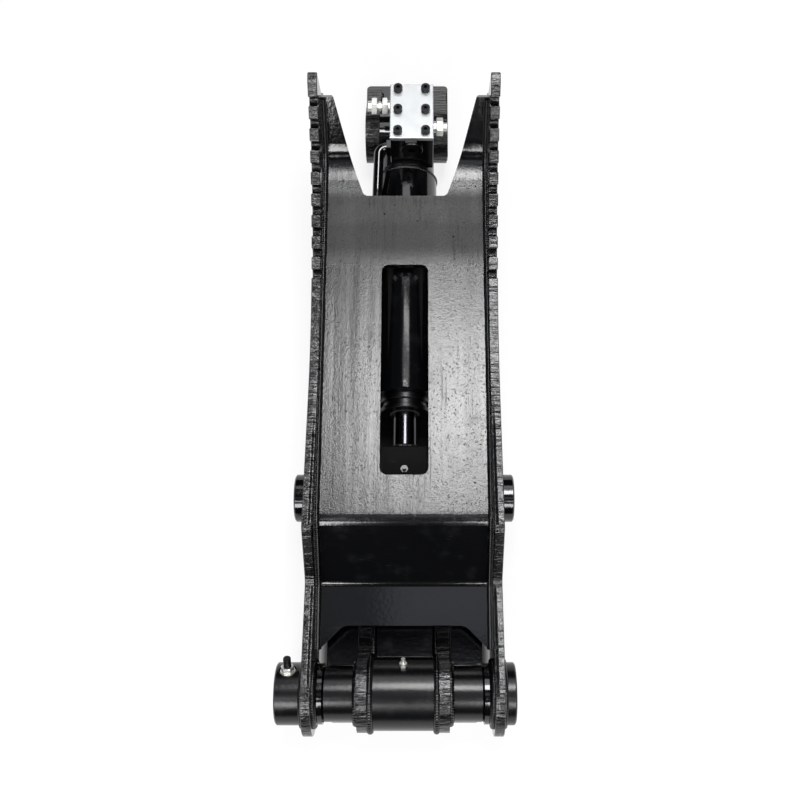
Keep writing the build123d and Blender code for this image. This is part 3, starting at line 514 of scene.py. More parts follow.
@dataclass(frozen=True)
class Seal:
    """Moulded polyurethane."""

    name: str
    colour: Colour = (0.02, 0.02, 0.022)
    bloom: Colour = (0.05, 0.05, 0.05)
    grain_depth: float = 0.00003
    cloud: Pattern = Pattern(90.0, 4.0)
    grain: Pattern = Pattern(1400.0, 3.0)

    def build(self) -> bpy.types.Material:
        """Make the seal's material.

        Returns:
            The material.
        """
        shader = Shader(self.name)
        cloud = shader.noise(self.cloud)
        return shader.finish(
            {"Specular IOR Level": 0.4},
            {
                "Base Color": shader.mix(cloud * 0.4, self.colour, self.bloom),
                "Roughness": cloud * 0.15 + 0.42,
                "Normal": shader.bump(shader.noise(self.grain), self.grain_depth),
            },
        )


class Finishes:
    """All the finishes on the object, built once."""

    def __init__(self) -> None:
        """Build each finish."""
        self.paint = GlossPaint("gloss_black").build()
        self.hub = GlossPaint("gloss_black_hub", shine=0.38, roughness=0.25).build()
        self.ear = FlameCutPaint("gloss_black_ear", shine=0.3, roughness=0.15).build()
        self.dull = GlossPaint("greased_black", shine=0.10, roughness=0.68).build()
        self.plate = FlameCutPaint("gloss_black_cut_plate", roughness=0.13).build()
        self.web = RolledSheetPaint("gloss_black_web", roughness=0.10).build()
        self.weld = GlossPaint(
            "gloss_black_weld", shine=0.4, roughness=0.13, peel_depth=0.00018, scratches=0.1
        ).build()
        self.block = MaskedPaint("gloss_black_block", roughness=0.16).build()
        self.zinc = BareMetal("bright_zinc", (0.80, 0.80, 0.77), (0.60, 0.60, 0.57), 0.42).build()
        self.cover = BareMetal("ground_zinc_plate", (0.66, 0.67, 0.67), (0.52, 0.54, 0.55), 0.42).build()
        self.pin = BareMetal("ground_pin", (0.22, 0.21, 0.20), (0.09, 0.08, 0.07), 0.34).build()
        self.oxide = BareMetal("black_oxide", (0.030, 0.030, 0.032), (0.018, 0.018, 0.018), 0.30).build()
        self.bronze = BareMetal("bearing_bronze", (0.56, 0.36, 0.17), (0.30, 0.18, 0.09), 0.32).build()
        # Chrome with its colour darkened to a dark grey, so the piston rod looks dark.
        self.chrome = BareMetal(
            "darkened_chrome", (0.060, 0.060, 0.066), (0.030, 0.028, 0.034), 0.16, 0.000008
        ).build()
        self.iron = BareMetal("turned_iron", (0.20, 0.20, 0.20), (0.10, 0.095, 0.09), 0.40).build()
        self.seal = Seal("moulded_seal").build()

    def of_node(self, node: str, slot: str) -> bpy.types.Material:
        """Choose the finish of a CAD node.

        Args:
            node: The node's name.
            slot: The record's material slot for it.

        Returns:
            The material that the node wears.
        """
        own = {
            "web_plate": self.web,
            "valve_cover_plate": self.cover,
            "valve_block": self.block,
            "gland_head": self.oxide,
            "rod_eye": self.dull,
            "rod_eye_nipple": self.hub,
            "side_plate_left": self.plate,
            "side_plate_right": self.plate,
            "bracket_ear_left": self.plate,
            "bracket_ear_right": self.plate,
            "cylinder_ear_left": self.ear,
            "cylinder_ear_right": self.ear,
            "hub_tube": self.hub,
            "main_pin_collar_left": self.hub,
            "main_pin_boss_right": self.hub,
            "pin_lock_bolt": self.oxide,
        }
        by_slot = {
            "gloss_black_paint": self.paint,
            "pin_steel": self.pin,
            "zinc_steel": self.zinc,
            "black_oxide_steel": self.oxide,
            "bearing_bronze": self.bronze,
            "hard_chrome": self.chrome,
            "machined_iron": self.iron,
            "seal_rubber": self.seal,
        }
        return own.get(node, by_slot[slot])


# Geometry Nodes


class NodeWork(Nodes):
    """A Geometry Nodes tree with named inputs."""

    def __init__(self, name: str, inputs: Sequence[tuple[str, str, object]]) -> None:
        """Start a tree.

        Args:
            name: The tree's name.
            inputs: The name, socket type and default of each input after the geometry.
        """
        super().__init__(bpy.data.node_groups.new(name, "GeometryNodeTree"))
        face = self.tree.interface
        face.new_socket("Geometry", in_out="INPUT", socket_type="NodeSocketGeometry")
        face.new_socket("Geometry", in_out="OUTPUT", socket_type="NodeSocketGeometry")
        for label, kind, default in inputs:
            socket = face.new_socket(label, in_out="INPUT", socket_type=kind)
            if default is not None:
                socket.default_value = default
        self.inputs = self.tree.nodes.new("NodeGroupInput").outputs
        self.outputs = self.tree.nodes.new("NodeGroupOutput").inputs

    def math(self, operation: str, *operands: object) -> bpy.types.NodeSocket:
        """Add a Math node.

        Args:
            operation: Its operation.
            operands: Numbers or sockets.

        Returns:
            The result's socket.
        """
        return self.add("ShaderNodeMath", {"operation": operation}, dict(enumerate(operands))).outputs[0]

    def close(self, geometry: bpy.types.NodeSocket) -> bpy.types.GeometryNodeTree:
        """End the tree in Realize Instances and Set Material.

        Args:
            geometry: The geometry so far.

        Returns:
            The finished tree.
        """
        smooth = self.add("GeometryNodeSetShadeSmooth", None, {"Geometry": geometry})
        real = self.add("GeometryNodeRealizeInstances", None, {"Geometry": smooth.outputs[0]})
        sockets = {"Geometry": real.outputs[0], "Material": self.inputs["Finish"]}
        dressed = self.add("GeometryNodeSetMaterial", None, sockets)
        self.tree.links.new(dressed.outputs[0], self.outputs[0])
        return self.tree


def bead_tree() -> bpy.types.GeometryNodeTree:
    """Make the tree that runs a rippled round bead along each path.

    Returns:
        The tree, for weld beads and for threads.
    """
    work = NodeWork(
        "rippled_bead",
        [
            ("Radius", "NodeSocketFloat", 0.004),
            ("Ripple Pitch", "NodeSocketFloat", 0.003),
            ("Ripple Depth", "NodeSocketFloat", 0.1),
            ("Unevenness", "NodeSocketFloat", 0.15),
            ("Sides", "NodeSocketInt", 10),
            ("Seed", "NodeSocketFloat", 1.0),
            ("Finish", "NodeSocketMaterial", None),
        ],
    )
    curve = work.add("GeometryNodeMeshToCurve", None, {0: work.inputs["Geometry"]})
    spacing = work.math("DIVIDE", work.inputs["Ripple Pitch"], 4.0)
    sockets = {"Curve": curve.outputs[0], "Length": spacing}
    even = work.add("GeometryNodeResampleCurve", {"mode": "LENGTH"}, sockets)
    reach = work.add("GeometryNodeSplineParameter").outputs["Length"]
    phase = work.math("MULTIPLY", work.math("DIVIDE", reach, work.inputs["Ripple Pitch"]), 2 * math.pi)
    ripple = work.math("MULTIPLY", work.math("SINE", phase), work.inputs["Ripple Depth"])
    place = work.add("GeometryNodeInputPosition").outputs[0]
    sockets = {"Vector": place, "W": work.inputs["Seed"], "Scale": 60.0}
    wander = work.add("ShaderNodeTexNoise", {"noise_dimensions": "4D"}, sockets).outputs[0]
    uneven = work.math("MULTIPLY", work.math("SUBTRACT", wander, 0.5), work.inputs["Unevenness"])
    swell = work.math("ADD", work.math("ADD", 1.0, ripple), uneven)
    sockets = {"Resolution": work.inputs["Sides"], "Radius": work.inputs["Radius"]}
    section = work.add("GeometryNodeCurvePrimitiveCircle", {"mode": "RADIUS"}, sockets)
    sockets = {
        "Curve": even.outputs[0], "Profile Curve": section.outputs[0], "Scale": swell, "Fill Caps": True,
    }
    return work.close(work.add("GeometryNodeCurveToMesh", None, sockets).outputs[0])


def spatter_tree() -> bpy.types.GeometryNodeTree:
    """Make the tree that throws small round drops of weld spatter over a sheet of faces.

    Returns:
        The tree.
    """
    work = NodeWork(
        "weld_spatter",
        [
            ("Density", "NodeSocketFloat", 900.0),
            ("Drop Radius", "NodeSocketFloat", 0.0007),
            ("Seed", "NodeSocketInt", 1),
            ("Finish", "NodeSocketMaterial", None),
        ],
    )
    seed = work.inputs["Seed"]
    sockets = {"Mesh": work.inputs["Geometry"], "Density": work.inputs["Density"], "Seed": seed}
    points = work.add("GeometryNodeDistributePointsOnFaces", {"distribute_method": "RANDOM"}, sockets)
    sockets = {"Radius": work.inputs["Drop Radius"], "Subdivisions": 2}
    ball = work.add("GeometryNodeMeshIcoSphere", None, sockets)
    smallest, largest = 2, 3
    sockets = {smallest: 0.4, largest: 1.5, "Seed": seed}
    size = work.add("FunctionNodeRandomValue", {"data_type": "FLOAT"}, sockets)
    sockets = {"Points": points.outputs[0], "Instance": ball.outputs[0], "Scale": size.outputs[1]}
    return work.close(work.add("GeometryNodeInstanceOnPoints", None, sockets).outputs[0])


class Workshop:
    """Makes finished plain meshes from paths, sheets and Geometry Nodes trees."""

    def __init__(self, finishes: Finishes) -> None:
        """Build the shared trees.

        Args:
            finishes: The object's finishes.
        """
        self.finishes = finishes
        self.bead = bead_tree()
        self.spatter = spatter_tree()

    def grow(
        self, mesh: bpy.types.Mesh, name: str, body: Body, tree: bpy.types.GeometryNodeTree,
        slot: Slot, inputs: dict[str, object],
    ) -> None:
        """Run a tree on a mesh and let the plain result ride, in weld paint unless told otherwise.

        Args:
            mesh: The tree's input mesh, in the row frame.
            name: The piece's name.
            body: The body that it rides on.
            tree: The Geometry Nodes tree.
            slot: The record's slot that its finish stands for.
            inputs: Values for the tree's inputs, with spaces as underscores.
        """
        given = {"Finish": self.finishes.weld}
        given.update((key.replace("_", " "), value) for key, value in inputs.items())
        piece = placed(name, mesh)
        modifier = piece.modifiers.new("nodes", "NODES")
        modifier.node_group = tree
        for item in tree.interface.items_tree:
            if item.item_type == "SOCKET" and item.in_out == "INPUT" and item.name in given:
                modifier[item.identifier] = given[item.name]
        graph = bpy.context.evaluated_depsgraph_get()
        graph.update()
        made = bpy.data.meshes.new_from_object(piece.evaluated_get(graph))
        piece.modifiers.clear()
        piece.data = made
        made.name = name
        self.settle(piece, body, slot)

    def beads(
        self, name: str, body: Body, paths: Sequence["Path"], slot: Slot = Slot.PAINT, **inputs: object
    ) -> None:
        """Run beads along paths and let them ride on a body.

        Args:
            name: The piece's name.
            body: The body that it rides on.
            paths: The paths.
            slot: The record's slot that its finish stands for.
            inputs: Values for the tree's inputs, with spaces as underscores.
        """
        self.grow(paths_mesh(name, paths), name, body, self.bead, slot, inputs)

    def drops(self, name: str, body: Body, sheets: Sequence["Sheet"], **inputs: object) -> None:
        """Throw weld spatter over sheets that lie on the work.

        Args:
            name: The piece's name.
            body: The body that it rides on.
            sheets: The sheets.
            inputs: Values for the tree's inputs, with spaces as underscores.
        """
        self.grow(sheets_mesh(name, sheets), name, body, self.spatter, Slot.PAINT, inputs)

    def turned(
        self, name: str, body: Body, node: str, spindle: "Spindle", steps: Sequence["Step"],
        finish: bpy.types.Material, slot: Slot,
    ) -> None:
        """Turn a piece with chamfered hexagons on a spindle, in the place of a CAD node.

        Args:
            name: The piece's name.
            body: The body that it rides on.
            node: The CAD node that it stands for.
            spindle: Where the piece turns.
            steps: Its outline, all round and closed, from one end to the other and back.
            finish: Its material.
            slot: The record's slot that the material stands for.
        """
        mesh = turned_mesh(name, spindle, steps)
        mesh.materials.append(finish)
        self.settle(placed(name, mesh), body, slot, node)

    def settle(self, piece: bpy.types.Object, body: Body, slot: Slot, *nodes: str) -> None:
        """Let a finished piece ride on a body.

        Args:
            piece: The piece.
            body: The body.
            slot: Not used.
            nodes: The CAD nodes that it stands for.
        """
        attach(piece, body.value)
        if nodes:
            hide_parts(*nodes)
        log.info("%s: %d faces on %s", piece.name, len(piece.data.polygons), body.value)


# Paths, turned pieces and sheets


@dataclass(frozen=True)
class Path:
    """A row of points that a bead follows."""

    points: tuple[Point, ...]
    closed: bool = False


def paths_mesh(name: str, paths: Sequence[Path]) -> bpy.types.Mesh:
    """Make a mesh of edges from paths.

    Args:
        name: The mesh's name.
        paths: The paths.

    Returns:
        The mesh, with no faces.
    """
    points: list[Point] = []
    edges: list[tuple[int, int]] = []
    for path in paths:
        first = len(points)
        points.extend(path.points)
        edges.extend((first + i, first + i + 1) for i in range(len(path.points) - 1))
        if path.closed:
            edges.append((len(points) - 1, first))
    mesh = bpy.data.meshes.new(name)
    mesh.from_pydata(points, edges, [])
    return mesh


def rounded(corners: Sequence[Flat], radii: Sequence[float], steps: int = 8) -> list[Flat]:
    """Round the inner corners of an open outline.

    Args:
        corners: The outline's corners.
        radii: The radius at each inner corner.
        steps: The number of points on each round corner.

    Returns:
        The rounded outline's points.
    """
    line = [corners[0]]
    for before, corner, after, radius in zip(corners, corners[1:], corners[2:], radii):
        middle = Vector(corner)
        back = (Vector(before) - middle).normalized()
        on = (Vector(after) - middle).normalized()
        half = math.acos(max(-1.0, min(1.0, back.dot(on)))) / 2
        reach = radius / math.tan(half)
        centre = middle + (back + on).normalized() * (radius / math.sin(half))
        start, end = middle + back * reach - centre, middle + on * reach - centre
        turn = start.angle_signed(end)
        for step in range(steps + 1):
            spoke = start.copy()
            spoke.rotate(Matrix.Rotation(-turn * step / steps, 2))
            line.append(tuple(centre + spoke))
    line.append(corners[-1])
    return line


def beside(line: Sequence[Flat], distance: float) -> list[Flat]:
    """Shift a line sideways.

    Args:
        line: The line's points.
        distance: The shift, positive to the left of the line's direction.

    Returns:
        The shifted points.
    """
    shifted = []
    for place, point in enumerate(line):
        before, after = line[max(place - 1, 0)], line[min(place + 1, len(line) - 1)]
        way = (Vector(after) - Vector(before)).normalized()
        shifted.append((point[0] - way.y * distance, point[1] + way.x * distance))
    return shifted


@dataclass(frozen=True)
class Spindle:
    """An axis in space, with the direction that angles round it start from."""

    origin: Point
    axis: Point
    zero: Point = (0.0, 0.0, 1.0)

    def at(self, distance: float, radius: float, angle: float) -> Vector:
        """A point round the axis.

        Args:
            distance: Its distance along the axis.
            radius: Its distance from the axis.
            angle: Its angle in radians from the spindle's zero direction.

        Returns:
            The point in the row frame.
        """
        along = Vector(self.axis).normalized()
        start = Vector(self.zero)
        start = (start - along * start.dot(along)).normalized()
        side = along.cross(start)
        spoke = start * math.cos(angle) + side * math.sin(angle)
        return Vector(self.origin) + along * distance + spoke * radius


@dataclass(frozen=True)
class Step:
    """One outline point of a turned piece, on a round section or on a hexagon."""

    along: float
    radius: float
    flats: float = 0.0

    def reach(self, angle: float) -> float:
        """The section's radius at an angle, cut by the hexagon's flats if it has them.

        Args:
            angle: The angle round the spindle in radians.

        Returns:
            The radius.
        """
        if not self.flats:
            return self.radius
        turn = (angle + math.pi / 6) % (math.pi / 3) - math.pi / 6
        return min(self.radius, self.flats / 2 / math.cos(turn))


def hexagon(start: float, length: float, flats: float, bevel: float = 0.0011) -> list[Step]:
    """Outline points of a hexagon with both its ends chamfered.

    Args:
        start: Where it starts along the spindle.
        length: Its thickness.
        flats: Its width across flats.
        bevel: The depth of its chamfers.

    Returns:
        The points, from one face to the other.
    """
    corner = flats / math.sqrt(3)
    face = flats * HEXAGON_FACE_SHARE
    middle = (face + corner) / 2 + HEXAGON_BEVEL_BULGE
    slope = bevel * HEXAGON_BEVEL_MIDDLE
    return [
        Step(start, face, flats),
        Step(start + slope, middle, flats),
        Step(start + bevel, corner, flats),
        Step(start + length - bevel, corner, flats),
        Step(start + length - slope, middle, flats),
        Step(start + length, face, flats),
    ]


def turned_mesh(name: str, spindle: Spindle, steps: Sequence[Step], count: int = 72) -> bpy.types.Mesh:
    """Turn a closed outline round a spindle.

    Args:
        name: The mesh's name.
        spindle: Where it turns.
        steps: Its outline, closed round the piece's wall.
        count: The number of points round the axis.

    Returns:
        The mesh, smooth apart from its sharp edges.
    """
    angles = [2 * math.pi * place / count for place in range(count)]
    points = [spindle.at(step.along, step.reach(angle), angle) for step in steps for angle in angles]
    faces = []
    for row in range(len(steps)):
        other = (row + 1) % len(steps)
        for place in range(count):
            on = (place + 1) % count
            faces.append((row * count + place, row * count + on, other * count + on, other * count + place))
    mesh = bpy.data.meshes.new(name)
    mesh.from_pydata(points, [], faces)
    work = bmesh.new()
    work.from_mesh(mesh)
    bmesh.ops.recalc_face_normals(work, faces=work.faces)
    work.to_mesh(mesh)
    work.free()
    mesh.shade_smooth()
    mesh.set_sharp_from_angle(angle=SHARP_EDGE)
    return mesh


def ring(
    centre: Point, axis: Point, radius: float, start: float = 0.0, end: float = 360.0, steps: int = 72
) -> Path:
    """Make a circle or an arc in space.

    Args:
        centre: Its centre.
        axis: Its axis.
        radius: Its radius.
        start: The first angle in degrees, from the direction nearest +Z.
        end: The last angle in degrees.
        steps: The number of points in a whole turn.

    Returns:
        The path, closed if it goes all round.
    """
    spindle = Spindle(centre, axis)
    whole = end - start >= 360
    count = steps if whole else max(3, int(steps * (end - start) / 360))
    places = range(count if whole else count + 1)
    turn = [math.radians(start + (end - start) * place / count) for place in places]
    return Path(tuple(tuple(spindle.at(0.0, radius, angle)) for angle in turn), whole)


def thread(spindle: Spindle, radius: float, start: float, length: float, pitch: float) -> Path:
    """Make the crest line of a screw thread.

    Args:
        spindle: The thread's axis.
        radius: The radius of the crest line.
        start: Where the thread starts along the axis.
        length: Its length.
        pitch: The distance from crest to crest.

    Returns:
        The path.
    """
    count = int(THREAD_POINTS * length / pitch)
    turn = 2 * math.pi / THREAD_POINTS
    crest = (spindle.at(start + length * place / count, radius, turn * place) for place in range(count + 1))
    return Path(tuple(tuple(point) for point in crest))


@dataclass(frozen=True)
class Sheet:
    """A flat four-sided patch that spatter falls on."""

    corner: Point
    along: Point
    across: Point


def sheets_mesh(name: str, sheets: Sequence[Sheet]) -> bpy.types.Mesh:
    """Make a mesh of flat patches.

    Args:
        name: The mesh's name.
        sheets: The patches.

    Returns:
        The mesh, one face for each patch.
    """
    points: list[Vector] = []
    faces: list[tuple[int, ...]] = []
    for sheet in sheets:
        first = len(points)
        corner, along, across = Vector(sheet.corner), Vector(sheet.along), Vector(sheet.across)
        points.extend((corner, corner + along, corner + along + across, corner + across))
        faces.append(tuple(range(first, first + 4)))
    mesh = bpy.data.meshes.new(name)
    mesh.from_pydata(points, [], faces)
    return mesh


# Sub-assemblies


@dataclass
class ThumbWeldment:
    """The toothed side plates and the folded web between them, welded along every seam."""

    pivot_height: float = 0.095
    inner_face: float = 0.126
    outer_face: float = 0.140
    web: float = 0.012
    profile: tuple[Flat, ...] = (
        (0.0605, -0.0146),
        (0.1535, -0.0050),
        (0.2375, 0.0540),
        (0.7015, 0.0540),
        (0.7305, 0.0570),
        (0.8015, 0.0620),
        (0.8678, 0.1341),
    )
    fold_radii: tuple[float, ...] = (0.016, 0.028, 0.090, 0.090, 0.075)
    rod_pin: Flat = (0.2775, 0.008)
    main_boss: float = 0.043
    rod_boss: float = 0.035
    rod_boss_inner: float = 0.032
    bolt_place: float = -0.161
    bolt_heading: float = 47.0
    nut_seat: float = 0.042143
    nut: float = 0.0084
    nut_flats: float = 0.016
    bolt_radius: float = 0.005
    bolt_tail: float = 0.0135
    bolt_pitch: float = 0.0015
    nut_gap: float = 0.0001
    nut_bevel: float = 0.0006
    seam_sink: float = 0.0012
    ring_sink: float = 0.001
    main_ring: float = 0.0015
    rod_ring: float = 0.0012
    tab_drop: float = 0.0105
    fold_strip: tuple[Point, Point, Point] = ((-0.058, 0.243, 0.0), (0.116, 0.0, 0.0), (0.0, 0.018, 0.0))
    edge_strips: Flat = (-0.118, 0.092)
    edge_strip: tuple[float, float, float] = (0.246, 0.026, 0.42)
    tab_corners: Flat = (-0.112, 0.082)
    tab_corner: tuple[float, float, float, float] = (0.086, 0.030, 0.048, 0.0050)

    def seam(self, side: int, above: float) -> Path:
        """The seam between the web and one side plate.

        Args:
            side: -1 for the left plate and 1 for the right one.
            above: The bead centre's height above the web's upper face.

        Returns:
            The seam's path.
        """
        line = beside(rounded(self.profile, self.fold_radii), above)
        across = side * (self.inner_face - self.seam_sink)
        return Path(tuple((across, y, z + self.pivot_height) for y, z in line))

    def weld_seams(self, shop: Workshop) -> None:
        """Weld the web to the side plates, and the bosses into them.

        Args:
            shop: Makes the beads.
        """
        upper = [self.seam(side, self.seam_sink) for side in (-1, 1)]
        lower = [self.seam(side, -self.web - self.seam_sink) for side in (-1, 1)]
        shop.beads(
            "web_seam_beads", Body.THUMB, upper + lower,
            Radius=0.0044, Ripple_Pitch=0.0032, Ripple_Depth=0.07, Unevenness=0.55,
        )
        rod_height = self.rod_pin[1] + self.pivot_height
        main, rod = (0.0, self.pivot_height), (self.rod_pin[0], rod_height)
        rings = []
        for side in (-1, 1):
            outside = side * (self.outer_face + self.ring_sink)
            inside = side * (self.inner_face - self.ring_sink)
            rings.append(ring((outside, *main), (1, 0, 0), self.main_boss + self.main_ring))
            rings.append(ring((inside, *main), (1, 0, 0), self.main_boss + self.main_ring))
            rings.append(ring((outside, *rod), (1, 0, 0), self.rod_boss + self.rod_ring))
            rings.append(ring((inside, *rod), (1, 0, 0), self.rod_boss_inner + self.rod_ring))
        shop.beads(
            "boss_ring_beads", Body.THUMB, rings,
            Radius=0.0038, Ripple_Pitch=0.0034, Ripple_Depth=0.07, Unevenness=0.4, Seed=5.0,
        )

    def scatter_spatter(self, shop: Workshop) -> None:
        """Leave small drops of spatter by the folds and in the web's low corners.

        Args:
            shop: Makes the drops.
        """
        top = self.pivot_height + self.profile[2][1]
        tab = self.pivot_height - self.tab_drop
        corner, along, across = self.fold_strip
        sheets = [Sheet((corner[0], corner[1], top), along, across)]
        start, width, length = self.edge_strip
        for left in self.edge_strips:
            sheets.append(Sheet((left, start, top), (width, 0.0, 0.0), (0.0, length, 0.0)))
        start, width, length, rise = self.tab_corner
        for left in self.tab_corners:
            sheets.append(Sheet((left, start, tab), (width, 0.0, 0.0), (0.0, length, rise)))
        shop.drops("weld_spatter", Body.THUMB, sheets, Density=9000.0, Drop_Radius=0.00045, Seed=4)

    def fit_lock_nut(self, shop: Workshop) -> None:
        """Turn the lock nut and cut the bolt's thread.

        Args:
            shop: Makes the pieces.
        """
        heading = math.radians(self.bolt_heading)
        axis = (0.0, math.sin(heading), math.cos(heading))
        zero = (0.0, math.cos(heading), -math.sin(heading))
        spindle = Spindle((self.bolt_place, 0.0, self.pivot_height), axis, zero)
        bore = self.bolt_radius + self.nut_gap
        end = self.nut_seat + self.nut
        steps = [
            *hexagon(self.nut_seat, self.nut, self.nut_flats),
            Step(end, bore + self.nut_bevel),
            Step(end - self.nut_bevel, bore),
            Step(self.nut_seat + self.nut_bevel, bore),
            Step(self.nut_seat, bore + self.nut_bevel),
        ]
        zinc = shop.finishes.zinc
        shop.turned("chamfered_lock_nut", Body.THUMB, "pin_lock_nut", spindle, steps, zinc, Slot.ZINC)
        crest = thread(spindle, self.bolt_radius, end, self.bolt_tail, self.bolt_pitch)
        shop.beads(
            "lock_bolt_thread", Body.THUMB, [crest], Slot.ZINC,
            Radius=0.0005, Ripple_Pitch=0.004, Ripple_Depth=0.0, Unevenness=0.0, Sides=4,
            Finish=shop.finishes.oxide,
        )

    def build(self, shop: Workshop) -> None:
        """Weld the thumb together and dress it.

        Args:
            shop: Makes its pieces.
        """
        self.weld_seams(shop)
        self.scatter_spatter(shop)
        self.fit_lock_nut(shop)


@dataclass
class PivotBracket:
    """The hub on two ears and a base plate, welded all round."""

    height: float = 0.095
    ear_inside: float = 0.0475
    ear: float = 0.017
    hub_radius: float = 0.0385
    middle_radius: float = 0.0505
    base_top: float = 0.016
    ear_ends: Flat = (-0.032, 0.186)
    bead_out: float = 0.0015
    bead_in: float = 0.0010
    hub_ring: float = 0.0022

    def build(self, shop: Workshop) -> None:
        """Weld the bracket together.

        Args:
            shop: Makes the beads.
        """
        hub_rings = []
        feet = []
        for side in (-1, 1):
            outside = side * (self.ear_inside + self.ear + self.bead_out)
            inside = side * (self.ear_inside - self.bead_in)
            hub_rings.append(ring((outside, 0.0, self.height), (1, 0, 0), self.hub_radius + self.hub_ring))
            hub_rings.append(ring((inside, 0.0, self.height), (1, 0, 0), self.middle_radius))
            for across in (outside, inside):
                foot = ((across, y, self.base_top + self.bead_out) for y in self.ear_ends)
                feet.append(Path(tuple(foot)))
        shop.beads(
            "hub_ring_beads", Body.BRACKET, hub_rings,
            Radius=0.0046, Ripple_Pitch=0.0042, Ripple_Depth=0.09, Unevenness=0.6, Seed=3.0,
        )
        shop.beads(
            "ear_foot_beads", Body.BRACKET, feet,
            Radius=0.0050, Ripple_Pitch=0.0040, Ripple_Depth=0.08, Unevenness=0.5, Seed=4.0,
        )


@dataclass
class Cylinder:
    """The hydraulic cylinder, placed along its own axis from the rod pin."""

    rod_pin: Flat = (0.2775, 0.103)
    base_pin: Flat = (0.904026, 0.060)
    rod_radius: float = 0.018
    shank_end: float = 0.074
    barrel_end: float = 0.538
    cap_radius: float = 0.046
    port_height: float = 0.088
    left_port: Flat = (-0.0243, 0.6255)
    right_port: Flat = (0.0441, 0.5865)
    adapter_flats: float = 0.025
    adapter_bore: float = 0.004
    adapter_bevel: float = 0.0012
    adapter_sink: float = 0.011
    adapter_seat: Flat = (0.0045, 0.0090)
    left_nut: float = 0.0088
    left_neck: Flat = (0.0065, 0.0027)
    left_collar: Flat = (0.0080, 0.0030)
    left_far_neck: float = 0.0025
    left_spigot: Flat = (0.0083, 0.0060)
    right_nut: float = 0.0110
    right_spigot: Flat = (0.0063, 0.0060)
    spigot_bevel: float = 0.0006
    spigot_thread: Flat = (0.0052, 0.0013)
    thread_sink: float = 0.0002
    eye_bead: Flat = (0.0016, 0.001)
    cap_beads: tuple[Flat, Flat] = ((0.0006, 0.0022), (0.0066, 0.0))
    cap_arc: float = 46.0
    port_block_ends: Flat = (0.189, 0.221)
    port_block_edges: tuple[Flat, Flat] = ((-0.0395, 0.0312), (-0.0488, 0.0152))

    def __post_init__(self) -> None:
        """Work out the cylinder's own directions."""
        start = Vector((0, *self.rod_pin))
        self.along = (Vector((0, *self.base_pin)) - start).normalized()
        self.up = Vector((1, 0, 0)).cross(self.along)
        self.start = start

    def at(self, across: float, distance: float, height: float) -> Point:
        """A point of the cylinder.

        Args:
            across: Its place along X.
            distance: Its distance from the rod pin along the axis.
            height: Its height above the axis.

        Returns:
            The point in the row frame.
        """
        return tuple(self.start + Vector((across, 0, 0)) + self.along * distance + self.up * height)

    def weld_seams(self, shop: Workshop) -> None:
        """Weld the rod to its eye, the cap to the barrel, and the head port block on.

        Args:
            shop: Makes the beads.
        """
        axis = tuple(self.along)
        past, over = self.eye_bead
        eye = ring(self.at(0, self.shank_end + past, 0), axis, self.rod_radius + over)
        shop.beads(
            "rod_eye_bead", Body.ROD, [eye],
            Radius=0.0034, Ripple_Pitch=0.0026, Ripple_Depth=0.10, Unevenness=0.45, Seed=8.0,
        )
        (past, over), (arc_past, arc_over) = self.cap_beads
        whole = self.at(0, self.barrel_end + past, 0)
        part = self.at(0, self.barrel_end + arc_past, 0)
        cap = [
            ring(whole, axis, self.cap_radius + over),
            ring(part, axis, self.cap_radius + arc_over, -self.cap_arc, self.cap_arc),
        ]
        port = [
            Path(tuple(self.at(across, end, height) for end in self.port_block_ends))
            for across, height in self.port_block_edges
        ]
        shop.beads(
            "barrel_beads", Body.BARREL, cap + port,
            Radius=0.0034, Ripple_Pitch=0.0026, Ripple_Depth=0.07, Unevenness=0.35, Seed=6.0,
        )

    def adapter(
        self, shop: Workshop, node: str, port: Flat, away: int, outside: Sequence[Step], turned: Point
    ) -> None:
        """Turn one hose adapter and cut its thread.

        Args:
            shop: Makes the pieces.
            node: The CAD node that it stands for.
            port: Its port's place across the cylinder and along it.
            away: -1 for a port that faces left and 1 for one that faces right.
            outside: The adapter's outer outline, from its seat to its open end.
            turned: The direction that the hexagons' flats face.
        """
        spindle = Spindle(self.at(port[0], port[1], self.port_height), (away, 0.0, 0.0), turned)
        end = outside[-1].along
        seat = outside[0].radius
        steps = [
            Step(-self.adapter_sink, seat),
            *outside,
            Step(end, self.adapter_bore + self.adapter_bevel),
            Step(end - self.adapter_bevel, self.adapter_bore),
            Step(-self.adapter_sink, self.adapter_bore),
        ]
        finishes = shop.finishes
        shop.turned(f"chamfered_{node}", Body.BARREL, node, spindle, steps, finishes.zinc, Slot.ZINC)
        length, pitch = self.spigot_thread
        start = end - self.spigot_bevel - length - self.thread_sink
        crest = thread(spindle, outside[-2].radius - self.thread_sink, start, length, pitch)
        shop.beads(
            f"{node}_thread", Body.BARREL, [crest], Slot.ZINC,
            Radius=0.00042, Ripple_Pitch=0.004, Ripple_Depth=0.0, Unevenness=0.0, Sides=4,
            Finish=finishes.zinc,
        )

    def spigot(self, start: float, size: Flat) -> list[Step]:
        """Outline points of an adapter's threaded end, with its bevel.

        Args:
            start: Where it leaves the hexagon.
            size: Its radius and its length.

        Returns:
            The points, to the adapter's open end.
        """
        radius, length = size
        end = start + length
        tip = Step(end + self.spigot_bevel, radius - self.spigot_bevel)
        return [Step(start, radius), Step(end, radius), tip]

